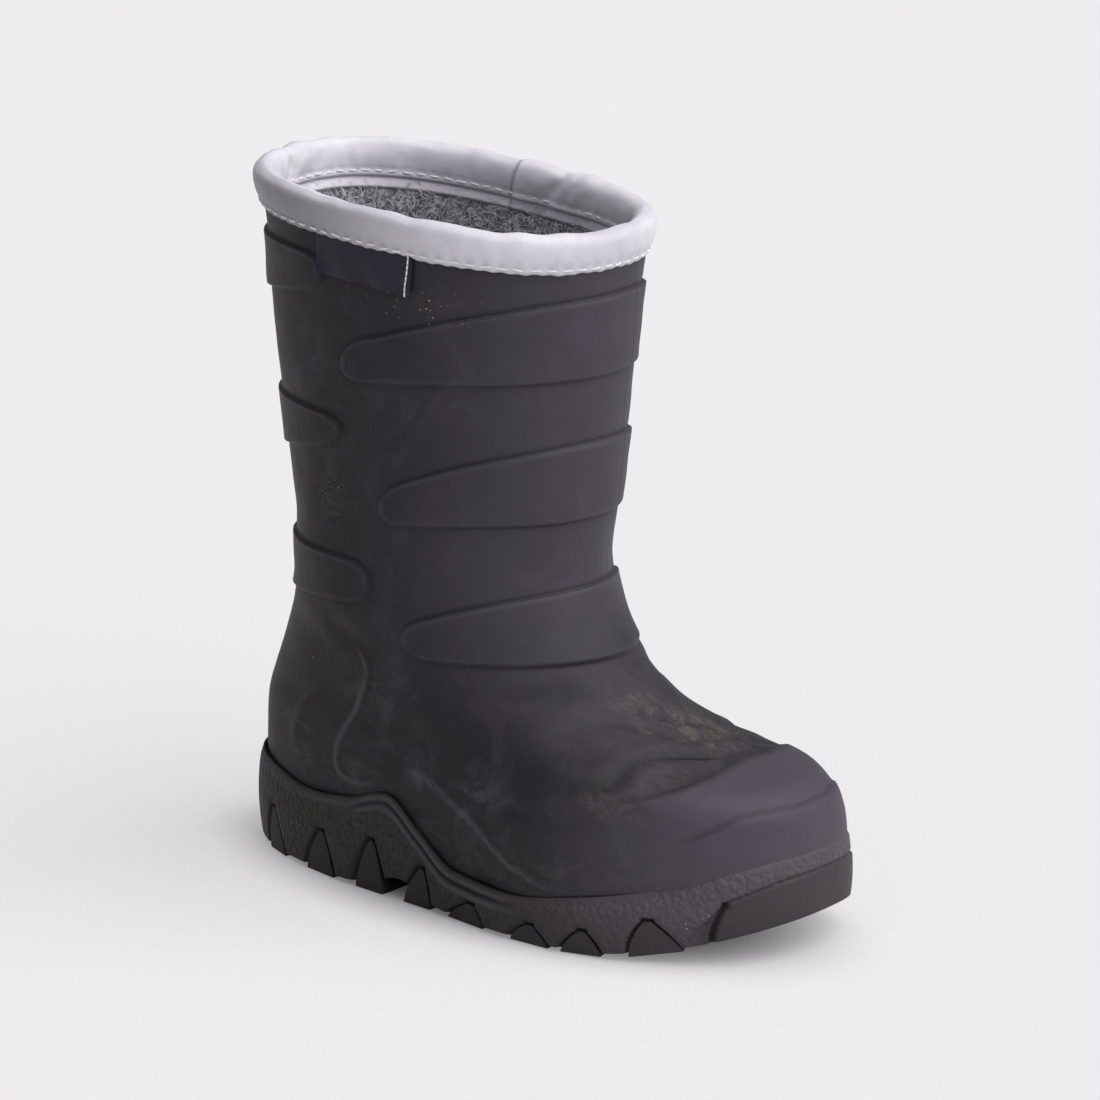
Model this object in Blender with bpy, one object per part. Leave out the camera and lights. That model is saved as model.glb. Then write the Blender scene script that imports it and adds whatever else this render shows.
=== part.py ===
"""Right rubber boot with a bonded felt lining, for a child.

A moulded shell with raised bands stands in a cup sole with triangular lugs. A folded
binding closes the collar, a woven tab hangs from it, and a pad lies on the footbed.

The boot is worked out in its own directions: ahead runs from the heel's back to the toe,
side runs to the outer side of the right foot, and up runs to the collar.
"""
from collections import namedtuple
from math import radians

import bmesh
import bpy
import numpy as np

# Driving dimensions, in metres
boot_length = 0.190
ball_width = 0.079
instep_height = 0.074
collar_height = 0.2015
shaft_length = 0.1165
shaft_width = 0.081
shaft_setback = 0.0005

# The right foot's curve: the ball bows to the outer side, the toe bends to the inner side.
# Places and spreads are shares of boot_length.
ball_bow = 0.0042
bow_place = 0.66
bow_spread = 0.22
toe_bend = 0.0085
bend_start = 0.60
waist_place = 0.42
waist_spread = 0.14
outer_waist = 0.6
inner_waist = 1.4
curve_fades_from = 0.475
curve_fades_to = 0.95
sag_skew = 1.3

# The shell's wall, with the felt bonded to it, and what is raised on it
wall = 0.0026
band_step = 0.0012
cap_step = 0.0008
edge_slope = 0.0009

# Cup sole
sole_wall = 0.0021
sole_lip = 0.0014
sole_round = 0.0010
sole_height = 0.027
tread_depth = 0.0028
toe_spring = 0.0110
heel_lift = 0.0020
arch_lift = 0.0052
notch_depth = 0.0013
notch_margin = 0.0010
lug_recess = 0.0004
lug_root = 0.0010
lug_blunt = 0.16
lug_taper = 0.70
bar_flare = 1.15

# Collar binding, side tab and insole
binding_thickness = 0.0016
binding_outside = 0.0086
binding_inside = 0.0150
tab_width = 0.0345
tab_drop = 0.0110
tab_thickness = 0.0009
tab_ahead = 0.0572
tab_columns = 10
insole_thickness = 0.0035

# Curved pieces lie this far apart
clearance = 0.0003

# Points around each section
columns_around = 64

# Sections of the shell from the feather line up. On the foot, reaches are shares of
# boot_length, rises and sag of instep_height, widths of ball_width. On the shaft, reaches are
# shares of shaft_length, rises of the height from instep to collar, widths of shaft_width.
# Front and back name the section's two ends, widest is where along it the full width lies,
# round is how blunt an end is, arch pulls the waist in and sag lowers the middle.
Section = namedtuple(
    "Section",
    "name front_reach front_rise back_reach back_rise width widest front_round back_round arch sag",
)
FOOT_SECTIONS = (
    Section("feather line", 0.966, 0.270, 0.034, 0.185, 0.950, 0.640, 2.45, 2.60, 0.10, 0.125),
    Section("sole line", 0.981, 0.390, 0.013, 0.310, 0.990, 0.635, 2.45, 2.60, 0.08, 0.090),
    Section("toe wall", 0.974, 0.530, 0.007, 0.450, 1.000, 0.630, 2.40, 2.50, 0.06, 0.040),
    Section("toe edge", 0.946, 0.628, 0.006, 0.580, 0.978, 0.620, 2.35, 2.40, 0.04, 0.010),
    Section("toe crown", 0.880, 0.672, 0.017, 0.710, 0.943, 0.600, 2.20, 2.30, 0.02, 0.0),
    Section("low vamp", 0.787, 0.738, 0.034, 0.830, 0.922, 0.570, 2.08, 2.25, 0.0, 0.0),
    Section("vamp", 0.705, 0.835, 0.050, 0.950, 0.908, 0.540, 2.04, 2.20, 0.0, 0.0),
)
SHAFT_SECTIONS = (
    Section("instep", 1.026, 0.000, 0.098, 0.030, 0.888, 0.500, 2.08, 2.15, 0.0, 0.0),
    Section("bend", 0.971, 0.080, 0.109, 0.110, 0.900, 0.500, 2.12, 2.15, 0.0, 0.0),
    Section("ankle", 0.943, 0.190, 0.105, 0.220, 0.905, 0.500, 2.15, 2.15, 0.0, 0.0),
    Section("low calf", 0.956, 0.350, 0.071, 0.380, 0.915, 0.500, 2.15, 2.15, 0.0, 0.0),
    Section("calf", 0.979, 0.560, 0.039, 0.595, 0.940, 0.500, 2.20, 2.20, 0.0, 0.0),
    Section("high calf", 0.988, 0.765, 0.024, 0.800, 0.965, 0.500, 2.30, 2.30, 0.0, 0.0),
    Section("collar", 1.006, 0.953, -0.007, 1.000, 0.980, 0.500, 2.45, 2.45, 0.0, 0.0),
)

# Raised bands. Each front band wraps the shaft's front and narrows to a tip on either side,
# each rear band wraps the back. Heights and drops are shares of collar_height, and angles
# are degrees around the section from its front.
Band = namedtuple(
    "Band",
    "name front_top front_bottom top_drop bottom_drop tip rear_top rear_bottom rear_rise rear_end",
)
BANDS = (
    Band("lower", 0.4605, 0.3660, 0.062, 0.010, 85.0, 0.480, 0.388, 0.036, 93.0),
    Band("middle", 0.6740, 0.5640, 0.083, 0.020, 88.0, 0.686, 0.592, 0.055, 101.0),
    Band("upper", 0.8855, 0.7725, 0.095, 0.032, 99.0, 0.915, 0.822, 0.045, 104.0),
)
band_end = 4.0
tip_curve = 2.5
rear_curve = 1.5

# The toe cap's edge: a section position at the toe's middle that falls towards the sides
cap_crown = 4.30
cap_fall = 2.42
cap_spread = 82.0
cap_curve = 1.6
cap_above_sole = 0.45

# The sole's upper edge: share of boot_length from the heel's back, share of sole_height
SoleEdge = namedtuple("SoleEdge", "along rise")
SOLE_EDGE = (
    SoleEdge(0.00, 1.02),
    SoleEdge(0.07, 0.98),
    SoleEdge(0.19, 0.89),
    SoleEdge(0.28, 0.97),
    SoleEdge(0.355, 1.13),
    SoleEdge(0.42, 0.84),
    SoleEdge(0.49, 0.52),
    SoleEdge(0.60, 0.47),
    SoleEdge(0.72, 0.60),
    SoleEdge(0.84, 0.80),
    SoleEdge(0.93, 1.12),
    SoleEdge(1.00, 1.29),
)

# Lugs on each side of the sole: degrees around from the toe, apex as a share of sole_height,
# foot's width and reach under the sole as shares of ball_width, lean of the apex
Lug = namedtuple("Lug", "name around apex width reach lean")
SIDE_LUGS = (
    Lug("heel back", 143.0, 0.50, 0.120, 0.20, 0.10),
    Lug("heel side", 126.0, 0.49, 0.150, 0.26, -0.12),
    Lug("heel breast", 113.5, 0.58, 0.135, 0.28, -0.15),
    Lug("arch", 104.0, 0.44, 0.130, 0.24, -0.25),
    Lug("ball rear", 96.0, 0.24, 0.180, 0.30, -0.20),
    Lug("ball", 88.5, 0.22, 0.165, 0.30, -0.05),
    Lug("ball front", 77.0, 0.27, 0.155, 0.30, -0.05),
    Lug("toe side", 58.0, 0.48, 0.160, 0.28, 0.05),
    Lug("toe corner", 36.0, 0.66, 0.150, 0.22, 0.15),
)

# Bars across the middle of the sole: place along boot_length, width of the foot across and
# along as shares of ball_width
Bar = namedtuple("Bar", "name along across deep")
MIDDLE_BARS = (
    Bar("heel rear", 0.115, 0.26, 0.10),
    Bar("heel front", 0.255, 0.24, 0.10),
    Bar("ball rear", 0.520, 0.28, 0.10),
    Bar("ball", 0.620, 0.30, 0.10),
    Bar("ball front", 0.720, 0.28, 0.10),
    Bar("toe", 0.850, 0.24, 0.10),
)

# The sole's profile along boot_length: where the toe spring and the heel's lift start, and
# where the arch lies
spring_start = 0.74
spring_power = 1.6
heel_bevel = 0.07
arch_place = 0.385
arch_spread = 0.055


def sized_sections():
    """The sections' rows in metres, with the last five columns as they are."""
    rows = []
    for s in FOOT_SECTIONS:
        rows.append([
            s.front_reach*boot_length, s.front_rise*instep_height,
            s.back_reach*boot_length, s.back_rise*instep_height,
            s.width*ball_width/2, s.widest, s.front_round, s.back_round, s.arch,
            s.sag*instep_height,
        ])
    rise = collar_height - instep_height
    for s in SHAFT_SECTIONS:
        rows.append([
            shaft_setback + s.front_reach*shaft_length, instep_height + s.front_rise*rise,
            shaft_setback + s.back_reach*shaft_length, instep_height + s.back_rise*rise,
            s.width*shaft_width/2, s.widest, s.front_round, s.back_round, s.arch, s.sag,
        ])
    return np.array(rows)


def through_rows(table, place):
    """A smooth curve through the table's rows that overshoots none of them."""
    place = np.asarray(place, float)
    step = np.diff(table, axis=0)
    slope = np.zeros_like(table)
    same_way = step[:-1]*step[1:] > 0
    total = np.where(same_way, step[:-1] + step[1:], 1.0)
    slope[1:-1] = np.where(same_way, 2*step[:-1]*step[1:]/total, 0.0)
    slope[0] = step[0]
    slope[-1] = step[-1]
    low = np.clip(place.astype(int), 0, len(table) - 2)
    t = (place - low)[..., None]
    return (
        table[low]*(1 + 2*t)*(1 - t)**2 + slope[low]*t*(1 - t)**2
        + table[low + 1]*t*t*(3 - 2*t) + slope[low + 1]*t*t*(t - 1)
    )


SECTIONS = sized_sections()
TOP = len(SECTIONS) - 1.0


def outline_point(around, row):
    """The point of a section at an angle from its front, the outer side of the foot first."""
    front, front_up, back, back_up, half, widest, front_round, back_round, arch, sag = (
        np.moveaxis(row, -1, 0)
    )
    c = np.cos(around)
    s = np.sin(around)
    power = 2/np.where(c < 0, back_round, front_round)
    lengthwise = np.sign(c)*np.abs(c)**power
    sideways = np.sign(s)*np.abs(s)**power
    along = np.where(c < 0, widest*(1 + lengthwise), widest + (1 - widest)*lengthwise)
    ahead = back + (front - back)*along
    up = back_up + (front_up - back_up)*along - sag*np.sin(np.pi*along**sag_skew)**2
    waist_side = np.where(s > 0, outer_waist, inner_waist)
    waist = 1 - arch*waist_side*np.exp(-((along - waist_place)/waist_spread)**2)
    fade = (curve_fades_to - up/instep_height)/(curve_fades_to - curve_fades_from)
    on_foot = np.clip(fade, 0, 1)
    share = ahead/boot_length
    bow = ball_bow*np.exp(-((share - bow_place)/bow_spread)**2)
    bend = toe_bend*np.clip((share - bend_start)/(1 - bend_start), 0, 1)**2
    side = half*sideways*waist + on_foot*(bow - bend)
    return np.stack([ahead, side, up], -1)


def shell_point(around, place):
    """A point of the shell's outer surface, without what is raised on it."""
    around, place = np.broadcast_arrays(around, place)
    return outline_point(around, through_rows(SECTIONS, place))


def shell_normal(around, place):
    """The direction straight out of the shell."""
    turn = 1e-3
    lift = 1e-3
    high = np.minimum(place + lift, TOP)
    across = shell_point(around + turn, place) - shell_point(around - turn, place)
    upward = shell_point(around, high) - shell_point(around, high - 2*lift)
    normal = np.cross(across, upward)
    return normal/np.linalg.norm(normal, axis=-1, keepdims=True)


def offset_point(around, place, out):
    """A point straight out of the shell's surface by the given distance."""
    out = np.broadcast_to(np.asarray(out, float), np.shape(around))[..., None]
    return shell_point(around, place) + shell_normal(around, place)*out


def place_at_height(around, height):
    """The section position at which the shell's surface reaches a height."""
    low = np.zeros_like(around)
    high = np.full_like(around, TOP)
    for _ in range(40):
        middle = (low + high)/2
        below = shell_point(around, middle)[..., 2] < height
        low = np.where(below, middle, low)
        high = np.where(below, high, middle)
    return (low + high)/2


def smooth_step(x):
    x = np.clip(x, 0, 1)
    return x*x*(3 - 2*x)


def sole_edge_height(ahead):
    """Height of the sole's upper edge, by the distance from the heel's back."""
    along = np.array([e.along for e in SOLE_EDGE])
    rise = np.array([[e.rise] for e in SOLE_EDGE])
    share = np.clip(ahead/boot_length, 0, 1)
    place = np.interp(share, along, np.arange(len(along)))
    return through_rows(rise, place)[..., 0]*sole_height


def sole_edge_place(around):
    """The section position at which the sole's upper edge meets the shell."""
    place = np.full_like(around, 1.0)
    for _ in range(30):
        ahead = shell_point(around, place)[..., 0]
        place = place_at_height(around, sole_edge_height(ahead))
    return place


def ground_line(ahead):
    """Height of the lugs' feet over the floor: flat under heel and ball, sprung at the toe."""
    share = ahead/boot_length
    toe = np.clip((share - spring_start)/(1 - spring_start), 0, 1)
    heel = np.clip((heel_bevel - share)/heel_bevel, 0, 1)
    return toe_spring*toe**spring_power + heel_lift*heel**2


def underside(ahead):
    """Height of the sole's underside between its lugs, with the arch."""
    share = ahead/boot_length
    arch = arch_lift*np.exp(-((share - arch_place)/arch_spread)**2)
    return ground_line(ahead) + tread_depth + arch


def sole_point(around, share):
    """A point of the sole's side, by its share of the way from the lower to the upper edge."""
    row = through_rows(SECTIONS, 1.0)
    foot = outline_point(around, np.array([
        boot_length - sole_round, 0, sole_round, 0, row[4] + sole_wall, *row[5:9], 0,
    ]))
    foot[..., 2] = underside(foot[..., 0])
    edge = sole_edge_place(around)
    lip = offset_point(around, edge, clearance + sole_lip)
    level_out = shell_normal(around, edge)
    level_out[..., 2] = 0
    level_out /= np.linalg.norm(level_out, axis=-1, keepdims=True)
    return foot + (lip - foot)*share + level_out*4*share*(1 - share)*sole_round


def angle_from_front(around):
    """Degrees around a section from its front, the same on both sides."""
    return np.abs(np.degrees((around + np.pi) % (2*np.pi) - np.pi))


def band_edges(band, around):
    """Height of a band's top and bottom edges all the way round, and where it is raised."""
    angle = angle_from_front(around)
    ahead_share = np.clip(angle/band.tip, 0, 1)**tip_curve
    behind_share = np.clip((180 - angle)/(180 - band.rear_end), 0, 1)**rear_curve
    top = band.front_top - band.top_drop*ahead_share
    bottom = band.front_bottom - band.bottom_drop*ahead_share
    rear_bottom = band.rear_bottom + band.rear_rise*behind_share
    across = smooth_step((angle - band.tip)/(band.rear_end - band.tip))
    top = top + (band.rear_top - top)*across
    bottom = bottom + (rear_bottom - bottom)*across
    raised = np.clip((band.tip - angle)/band_end, 0, 1)
    raised = np.maximum(raised, np.clip((angle - band.rear_end)/band_end, 0, 1))
    return top*collar_height, bottom*collar_height, raised


def cap_place(around):
    """The section position of the toe cap's edge, and where the cap is raised."""
    angle = angle_from_front(around)
    share = np.clip(angle/cap_spread, 0, 1)
    return cap_crown - cap_fall*share**cap_curve, np.clip(3*(1 - share), 0, 1)


AROUND = np.linspace(0, 2*np.pi, columns_around, endpoint=False)


def shell_rows():
    """Places and raised heights of the shell's outer rows, from the feather line up."""
    flat = np.zeros(columns_around)
    sole_edge = sole_edge_place(AROUND)
    rows = [(sole_edge*share, flat) for share in (0.0, 0.35, 0.7, 1.0)]
    cap, cap_raised = cap_place(AROUND)
    first_top, first_bottom, _ = band_edges(BANDS[0], AROUND)
    first_band = place_at_height(AROUND, first_bottom - edge_slope)
    cap = np.maximum(cap, sole_edge + cap_above_sole)
    for share in (0.5, 0.93):
        rows.append((sole_edge + (cap - sole_edge)*share, cap_raised*cap_step))
    rows.append((cap, flat))
    for share in (0.2, 0.4, 0.6, 0.8):
        rows.append((cap + (first_band - cap)*share, flat))
    for number, band in enumerate(BANDS):
        top, bottom, raised = band_edges(band, AROUND)
        rows.append((place_at_height(AROUND, bottom - edge_slope), flat))
        rows.append((place_at_height(AROUND, bottom), raised*band_step))
        rows.append((place_at_height(AROUND, top), raised*band_step))
        rows.append((place_at_height(AROUND, top + edge_slope), flat))
        if number < len(BANDS) - 1:
            _, next_bottom, _ = band_edges(BANDS[number + 1], AROUND)
            between = (top + next_bottom)/2
            rows.append((place_at_height(AROUND, between), flat))
    rows.append((below_rim(binding_outside), flat))
    rows.append((np.full(columns_around, TOP), flat))
    return rows


def below_rim(distance):
    """The section position a distance under the rim."""
    rim = shell_point(AROUND, TOP)[..., 2]
    return place_at_height(AROUND, rim - distance)


def inner_rows():
    """Places of the shell's inner rows, from the feather line up."""
    inner_edge = below_rim(binding_inside)
    shares = (0.0, 0.12, 0.24, 0.33, 0.42, 0.51, 0.60, 0.70, 0.80, 0.90, 1.0)
    rows = [inner_edge*share for share in shares]
    rows.append(np.full(columns_around, TOP))
    return rows


def ring_mesh(rings, closed=True):
    """Points and faces of a tube through rings of equal length, closed on itself or open."""
    points = np.concatenate(rings)
    count = len(rings[0])
    faces = []
    last = len(rings) if closed else len(rings) - 1
    for i in range(last):
        j = (i + 1) % len(rings)
        for k in range(count):
            n = (k + 1) % count
            faces.append((i*count + k, i*count + n, j*count + n, j*count + k))
    return points, faces


def ladder_faces(start, count):
    """Faces across a ring whose points mirror each other about its front and back points."""
    faces = [(start, start + 1, start + count - 1)]
    half = count//2
    for k in range(1, half - 1):
        faces.append((start + k, start + k + 1, start + count - k - 1, start + count - k))
    faces.append((start + half - 1, start + half, start + half + 1))
    return faces


def to_world(points):
    """From ahead, side and up to the scene's axes: the toe points to -Y, the outer side to -X."""
    points = np.asarray(points)
    return np.stack([-points[:, 1], boot_length/2 - points[:, 0], points[:, 2]], -1)


def add_object(name, points, faces, material):
    """A mesh object with its faces turned outwards and shaded smooth but for its edges."""
    mesh = bpy.data.meshes.new(name)
    mesh.from_pydata([tuple(p) for p in to_world(points)], [], faces)
    work = bmesh.new()
    work.from_mesh(mesh)
    bmesh.ops.recalc_face_normals(work, faces=work.faces)
    bmesh.ops.triangulate(work, faces=work.faces)
    work.to_mesh(mesh)
    work.free()
    mesh.shade_smooth()
    mesh.set_sharp_from_angle(angle=radians(35))
    thing = bpy.data.objects.new(name, mesh)
    bpy.context.scene.collection.objects.link(thing)
    if material:
        mesh.materials.append(material)
    return thing


def make_material(name, colour, roughness):
    material = bpy.data.materials.new(name)
    material.use_nodes = True
    shader = material.node_tree.nodes["Principled BSDF"]
    shader.inputs["Base Color"].default_value = (*colour, 1.0)
    shader.inputs["Roughness"].default_value = roughness
    shader.inputs["Metallic"].default_value = 0.0
    return material


def make_upper(material):
    """The hollow shell: outer rows up to the rim, inner rows back down to the feather line."""
    rings = [offset_point(AROUND, place, raised) for place, raised in shell_rows()]
    for place in reversed(inner_rows()):
        rings.append(offset_point(AROUND, place, -wall))
    return add_object("upper", *ring_mesh(rings), material)


def make_sole_body(material):
    """The cup: outer side, upper edge, inner side along the shell, footbed and underside."""
    rings = [sole_point(AROUND, share) for share in (0.0, 0.25, 0.5, 0.75, 1.0)]
    for place, raised in reversed(shell_rows()[:4]):
        rings.append(offset_point(AROUND, place, raised + clearance))
    footbed = rings[-1].copy()
    footbed[:, 2] = shell_point(AROUND, 0.0)[:, 2] - clearance
    rings[-1] = footbed
    points, faces = ring_mesh(rings, closed=False)
    faces += ladder_faces(0, columns_around)
    faces += ladder_faces((len(rings) - 1)*columns_around, columns_around)
    return add_object("outsole", points, faces, material)


def wall_frame(around):
    """The sole's side at an angle: a point, the way along it and the level way in."""
    turn = 0.01
    near = sole_point(np.array([around - turn, around, around + turn]), 0.5)
    along = near[2] - near[0]
    along[2] = 0
    along /= np.linalg.norm(along)
    inward = np.array([-along[1], along[0], 0])
    centre = np.array([boot_length*0.5, 0, 0])
    if np.dot(inward, centre - near[1]) < 0:
        inward = -inward
    return near[1], along, inward


def lug_section(frame, depth, half_width, apex, lean, foot, margin=0.0):
    """Four corners of a lug at a depth in from the sole's side: two feet and a blunt apex."""
    middle, along, inward = frame
    corners = []
    for sign in (-1, 1):
        corner = middle + inward*depth + along*sign*(half_width + margin)
        corner[2] = ground_line(corner[0]) + foot
        corners.append(corner)
    for sign in (1, -1):
        shift = 2*half_width*lean + sign*(lug_blunt*half_width + margin)
        corner = middle + inward*depth + along*shift
        corner[2] = apex + margin
        corners.append(corner)
    return corners


def join_sections(sections):
    """A closed tube through sections of four corners."""
    points, faces = ring_mesh([np.array(s) for s in sections], closed=False)
    last = len(points) - 4
    faces.append((0, 1, 2, 3))
    faces.append((last, last + 1, last + 2, last + 3))
    return points, faces


def join_pieces(pieces):
    points = []
    faces = []
    for piece_points, piece_faces in pieces:
        base = len(points)
        points.extend(piece_points)
        faces.extend(tuple(base + i for i in face) for face in piece_faces)
    return np.array(points), faces


def side_lug(lug, side):
    """A lug's solid and the notch in the sole's side around it."""
    frame = wall_frame(side*radians(lug.around))
    half = lug.width*ball_width/2
    apex = lug.apex*sole_height
    root = underside(frame[0][0]) + lug_root
    cut_back = notch_depth + clearance
    slope_end = notch_depth + 2*sole_wall
    solid = [
        lug_section(frame, lug_recess, half, apex, lug.lean, 0.0),
        lug_section(frame, cut_back, half, apex, lug.lean, 0.0),
        lug_section(frame, slope_end, half, min(root, apex), lug.lean, 0.0),
        lug_section(frame, lug.reach*ball_width, lug_taper*half, min(root, apex), lug.lean, 0.0),
    ]
    below = -tread_depth
    notch = [
        lug_section(frame, depth, half, apex, lug.lean, below, notch_margin)
        for depth in (-2*notch_depth, notch_depth)
    ]
    return join_sections(solid), join_sections(notch)


def middle_bar(bar):
    """A bar under the middle of the sole, on its centre line."""
    ahead = bar.along*boot_length
    sides = outline_point(np.array([0.5, -0.5])*np.pi, through_rows(SECTIONS, 0.0))
    centre_side = sides[:, 1].mean()
    half_across = bar.across*ball_width/2
    half_deep = bar.deep*ball_width/2
    corners = []
    for at_root in (False, True):
        for x, y in ((-1, -1), (1, -1), (1, 1), (-1, 1)):
            place = ahead + x*half_deep*(bar_flare if at_root else 1)
            side = centre_side + y*half_across
            up = underside(place) + lug_root if at_root else ground_line(place)
            corners.append((place, side, up))
    return join_sections([corners[:4], corners[4:]])


def use_boolean(thing, cutter, operation):
    cutter.hide_render = True
    cutter.display_type = "WIRE"
    step = thing.modifiers.new(cutter.name, "BOOLEAN")
    step.operation = operation
    step.solver = "EXACT"
    step.object = cutter


def make_outsole(material):
    body = make_sole_body(material)
    solids = []
    notches = []
    for lug in SIDE_LUGS:
        for side in (1, -1):
            solid, notch = side_lug(lug, side)
            solids.append(solid)
            notches.append(notch)
    bars = [middle_bar(bar) for bar in MIDDLE_BARS]
    notch_guide = add_object("notch_guide", *join_pieces(notches), None)
    lug_guide = add_object("lug_guide", *join_pieces(solids), None)
    bar_guide = add_object("bar_guide", *join_pieces(bars), None)
    use_boolean(body, notch_guide, "DIFFERENCE")
    use_boolean(body, lug_guide, "UNION")
    use_boolean(body, bar_guide, "UNION")
    return [body, notch_guide, lug_guide, bar_guide]


def make_binding(material):
    """The folded strip over the rim, with a leg down either side of the wall."""
    near_out = clearance
    far_out = clearance + binding_thickness
    near_in = -wall - clearance
    far_in = -wall - clearance - binding_thickness
    lift = clearance + binding_thickness
    rim = np.full(columns_around, TOP)
    outside = below_rim(binding_outside)
    inside = below_rim(binding_inside)
    middle = (near_out + near_in)/2
    profile = (
        (outside, near_out, 0.0),
        (outside, 0.9*far_out, 0.0),
        ((rim + outside)/2, far_out, 0.0),
        (rim, far_out, -0.1*lift),
        (rim, 0.70*far_out, 0.75*lift),
        (rim, middle, lift),
        (rim, middle + 0.72*(far_in - middle), 0.78*lift),
        (rim, far_in, -0.1*lift),
        ((rim + inside)/2, far_in, 0.0),
        (inside, near_in + 0.9*(far_in - near_in), 0.0),
        (inside, near_in, 0.0),
        (rim, near_in, clearance),
        (rim, near_out, clearance),
    )
    rings = []
    for place, out, up in profile:
        ring = offset_point(AROUND, place, out)
        ring[:, 2] += up
        rings.append(ring)
    return add_object("collar_binding", *ring_mesh(rings), material)


def make_tab(material):
    """The woven tab under the binding, on the outer side, over the end of the rear band."""
    outer_half = AROUND[AROUND < np.pi]
    below = below_rim(binding_outside)[AROUND < np.pi]
    edge_line = shell_point(outer_half, below)
    ends = tab_ahead + np.linspace(0.5, -0.5, tab_columns)*tab_width
    around = np.interp(-ends, -edge_line[:, 0], outer_half)
    top = np.interp(around, outer_half, edge_line[:, 2]) - clearance
    band = BANDS[-1]
    over_band = np.clip((np.degrees(around) - band.rear_end)/band_end + 1.5, 0, 1)
    rings = []
    for down in (0.0, 0.5, 1.0):
        place = place_at_height(around, top - down*tab_drop)
        near = clearance + over_band*band_step
        inner = offset_point(around, place, near)
        outer = offset_point(around, place, near + tab_thickness)
        rings.append(np.concatenate([inner, outer[::-1]]))
    points, faces = ring_mesh(rings, closed=False)
    count = 2*tab_columns
    for start in (0, 2*count):
        for k in range(tab_columns - 1):
            faces.append((start + k, start + k + 1, start + count - k - 2, start + count - k - 1))
    return add_object("side_tab", points, faces, material)


def make_insole(material):
    """The pad on the footbed, inside the wall."""
    bottom_place, next_place = inner_rows()[:2]
    out = -wall - clearance
    bottom = offset_point(AROUND, bottom_place, out)
    above = offset_point(AROUND, next_place, out)
    climb = insole_thickness/(above[:, 2] - bottom[:, 2])
    top = bottom + (above - bottom)*climb[:, None]
    points, faces = ring_mesh([bottom, top], closed=False)
    faces += ladder_faces(0, columns_around)
    faces += ladder_faces(columns_around, columns_around)
    return add_object("insole", points, faces, material)


def stand_on_origin(things, pieces):
    """Moves everything so that the pieces' box stands on the origin."""
    bpy.context.view_layer.update()
    scene_graph = bpy.context.evaluated_depsgraph_get()
    corners = []
    for piece in pieces:
        shape = piece.evaluated_get(scene_graph)
        mesh = shape.to_mesh()
        flat = np.empty(len(mesh.vertices)*3)
        mesh.vertices.foreach_get("co", flat)
        shape.to_mesh_clear()
        corners.append(flat.reshape(-1, 3))
    corners = np.concatenate(corners)
    low = corners.min(axis=0)
    high = corners.max(axis=0)
    for thing in things:
        thing.location = (-(low[0] + high[0])/2, -(low[1] + high[1])/2, -low[2])


def main():
    for thing in list(bpy.data.objects):
        bpy.data.objects.remove(thing)
    rubber = make_material("black rubber", (0.022, 0.020, 0.024), 0.55)
    tread = make_material("tread rubber", (0.018, 0.017, 0.019), 0.70)
    grey_cloth = make_material("grey binding", (0.42, 0.41, 0.46), 0.85)
    navy_weave = make_material("navy weave", (0.016, 0.016, 0.028), 0.80)
    felt = make_material("grey felt", (0.060, 0.060, 0.068), 0.95)
    upper = make_upper(rubber)
    sole_things = make_outsole(tread)
    binding = make_binding(grey_cloth)
    insole = make_insole(felt)
    tab = make_tab(navy_weave)
    pieces = [upper, sole_things[0], binding, insole, tab]
    stand_on_origin(pieces + sole_things[1:], pieces)


main()
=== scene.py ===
"""The lined rubber boot, finished for its picture.

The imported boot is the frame. Each of its pieces is made here again from the same form, fine
enough for raised bands, creases, stitches, felt and lugs, and takes a procedural material.

Directions of the boot: ahead runs from the heel's back to the toe, side runs to the outer
side of the right foot and up runs to the collar. Lengths are in metres, and around is the
angle about a section, from its front by way of the outer side.
"""
from collections import namedtuple
from math import cos, radians, sin

import bmesh
import bpy
import numpy as np
from mathutils import Matrix, Vector


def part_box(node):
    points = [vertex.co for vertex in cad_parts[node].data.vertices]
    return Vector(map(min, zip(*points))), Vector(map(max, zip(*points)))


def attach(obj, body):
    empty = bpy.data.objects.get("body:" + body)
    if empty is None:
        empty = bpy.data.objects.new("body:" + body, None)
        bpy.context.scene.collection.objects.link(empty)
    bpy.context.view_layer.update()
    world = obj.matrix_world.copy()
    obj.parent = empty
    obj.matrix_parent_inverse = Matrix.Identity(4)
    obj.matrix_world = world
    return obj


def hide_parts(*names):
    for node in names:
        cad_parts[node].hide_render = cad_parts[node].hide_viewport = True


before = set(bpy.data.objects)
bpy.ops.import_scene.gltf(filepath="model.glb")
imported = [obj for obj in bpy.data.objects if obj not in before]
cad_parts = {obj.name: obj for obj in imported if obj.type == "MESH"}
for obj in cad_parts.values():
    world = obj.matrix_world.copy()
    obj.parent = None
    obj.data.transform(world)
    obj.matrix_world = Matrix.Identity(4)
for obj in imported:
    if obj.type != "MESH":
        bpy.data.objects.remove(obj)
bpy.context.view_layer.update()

MM = 0.001

# Driving dimensions of the boot
boot_length = 0.190
ball_width = 0.079
instep_height = 0.074
collar_height = 0.2015
shaft_length = 0.1165
shaft_width = 0.081
shaft_setback = 0.0005
ball_bow = 0.0042
bow_place = 0.66
bow_spread = 0.22
toe_bend = 0.0085
bend_start = 0.60
waist_place = 0.42
waist_spread = 0.14
outer_waist = 0.6
inner_waist = 1.4
curve_fades_from = 0.475
curve_fades_to = 0.95
sag_skew = 1.3
wall = 0.0026
band_step = 0.0012
cap_step = 0.0011
sole_wall = 0.0021
sole_lip = 0.0014
sole_round = 0.0010
sole_height = 0.027
tread_depth = 0.0013
toe_spring = 0.0110
heel_lift = 0.0020
arch_lift = 0.0052
notch_depth = 0.0013
notch_margin = 0.0010
lug_recess = 0.0004
lug_root = 0.0010
lug_taper = 0.70
lug_tuck = 0.0011
notch_reach = 0.014
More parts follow.
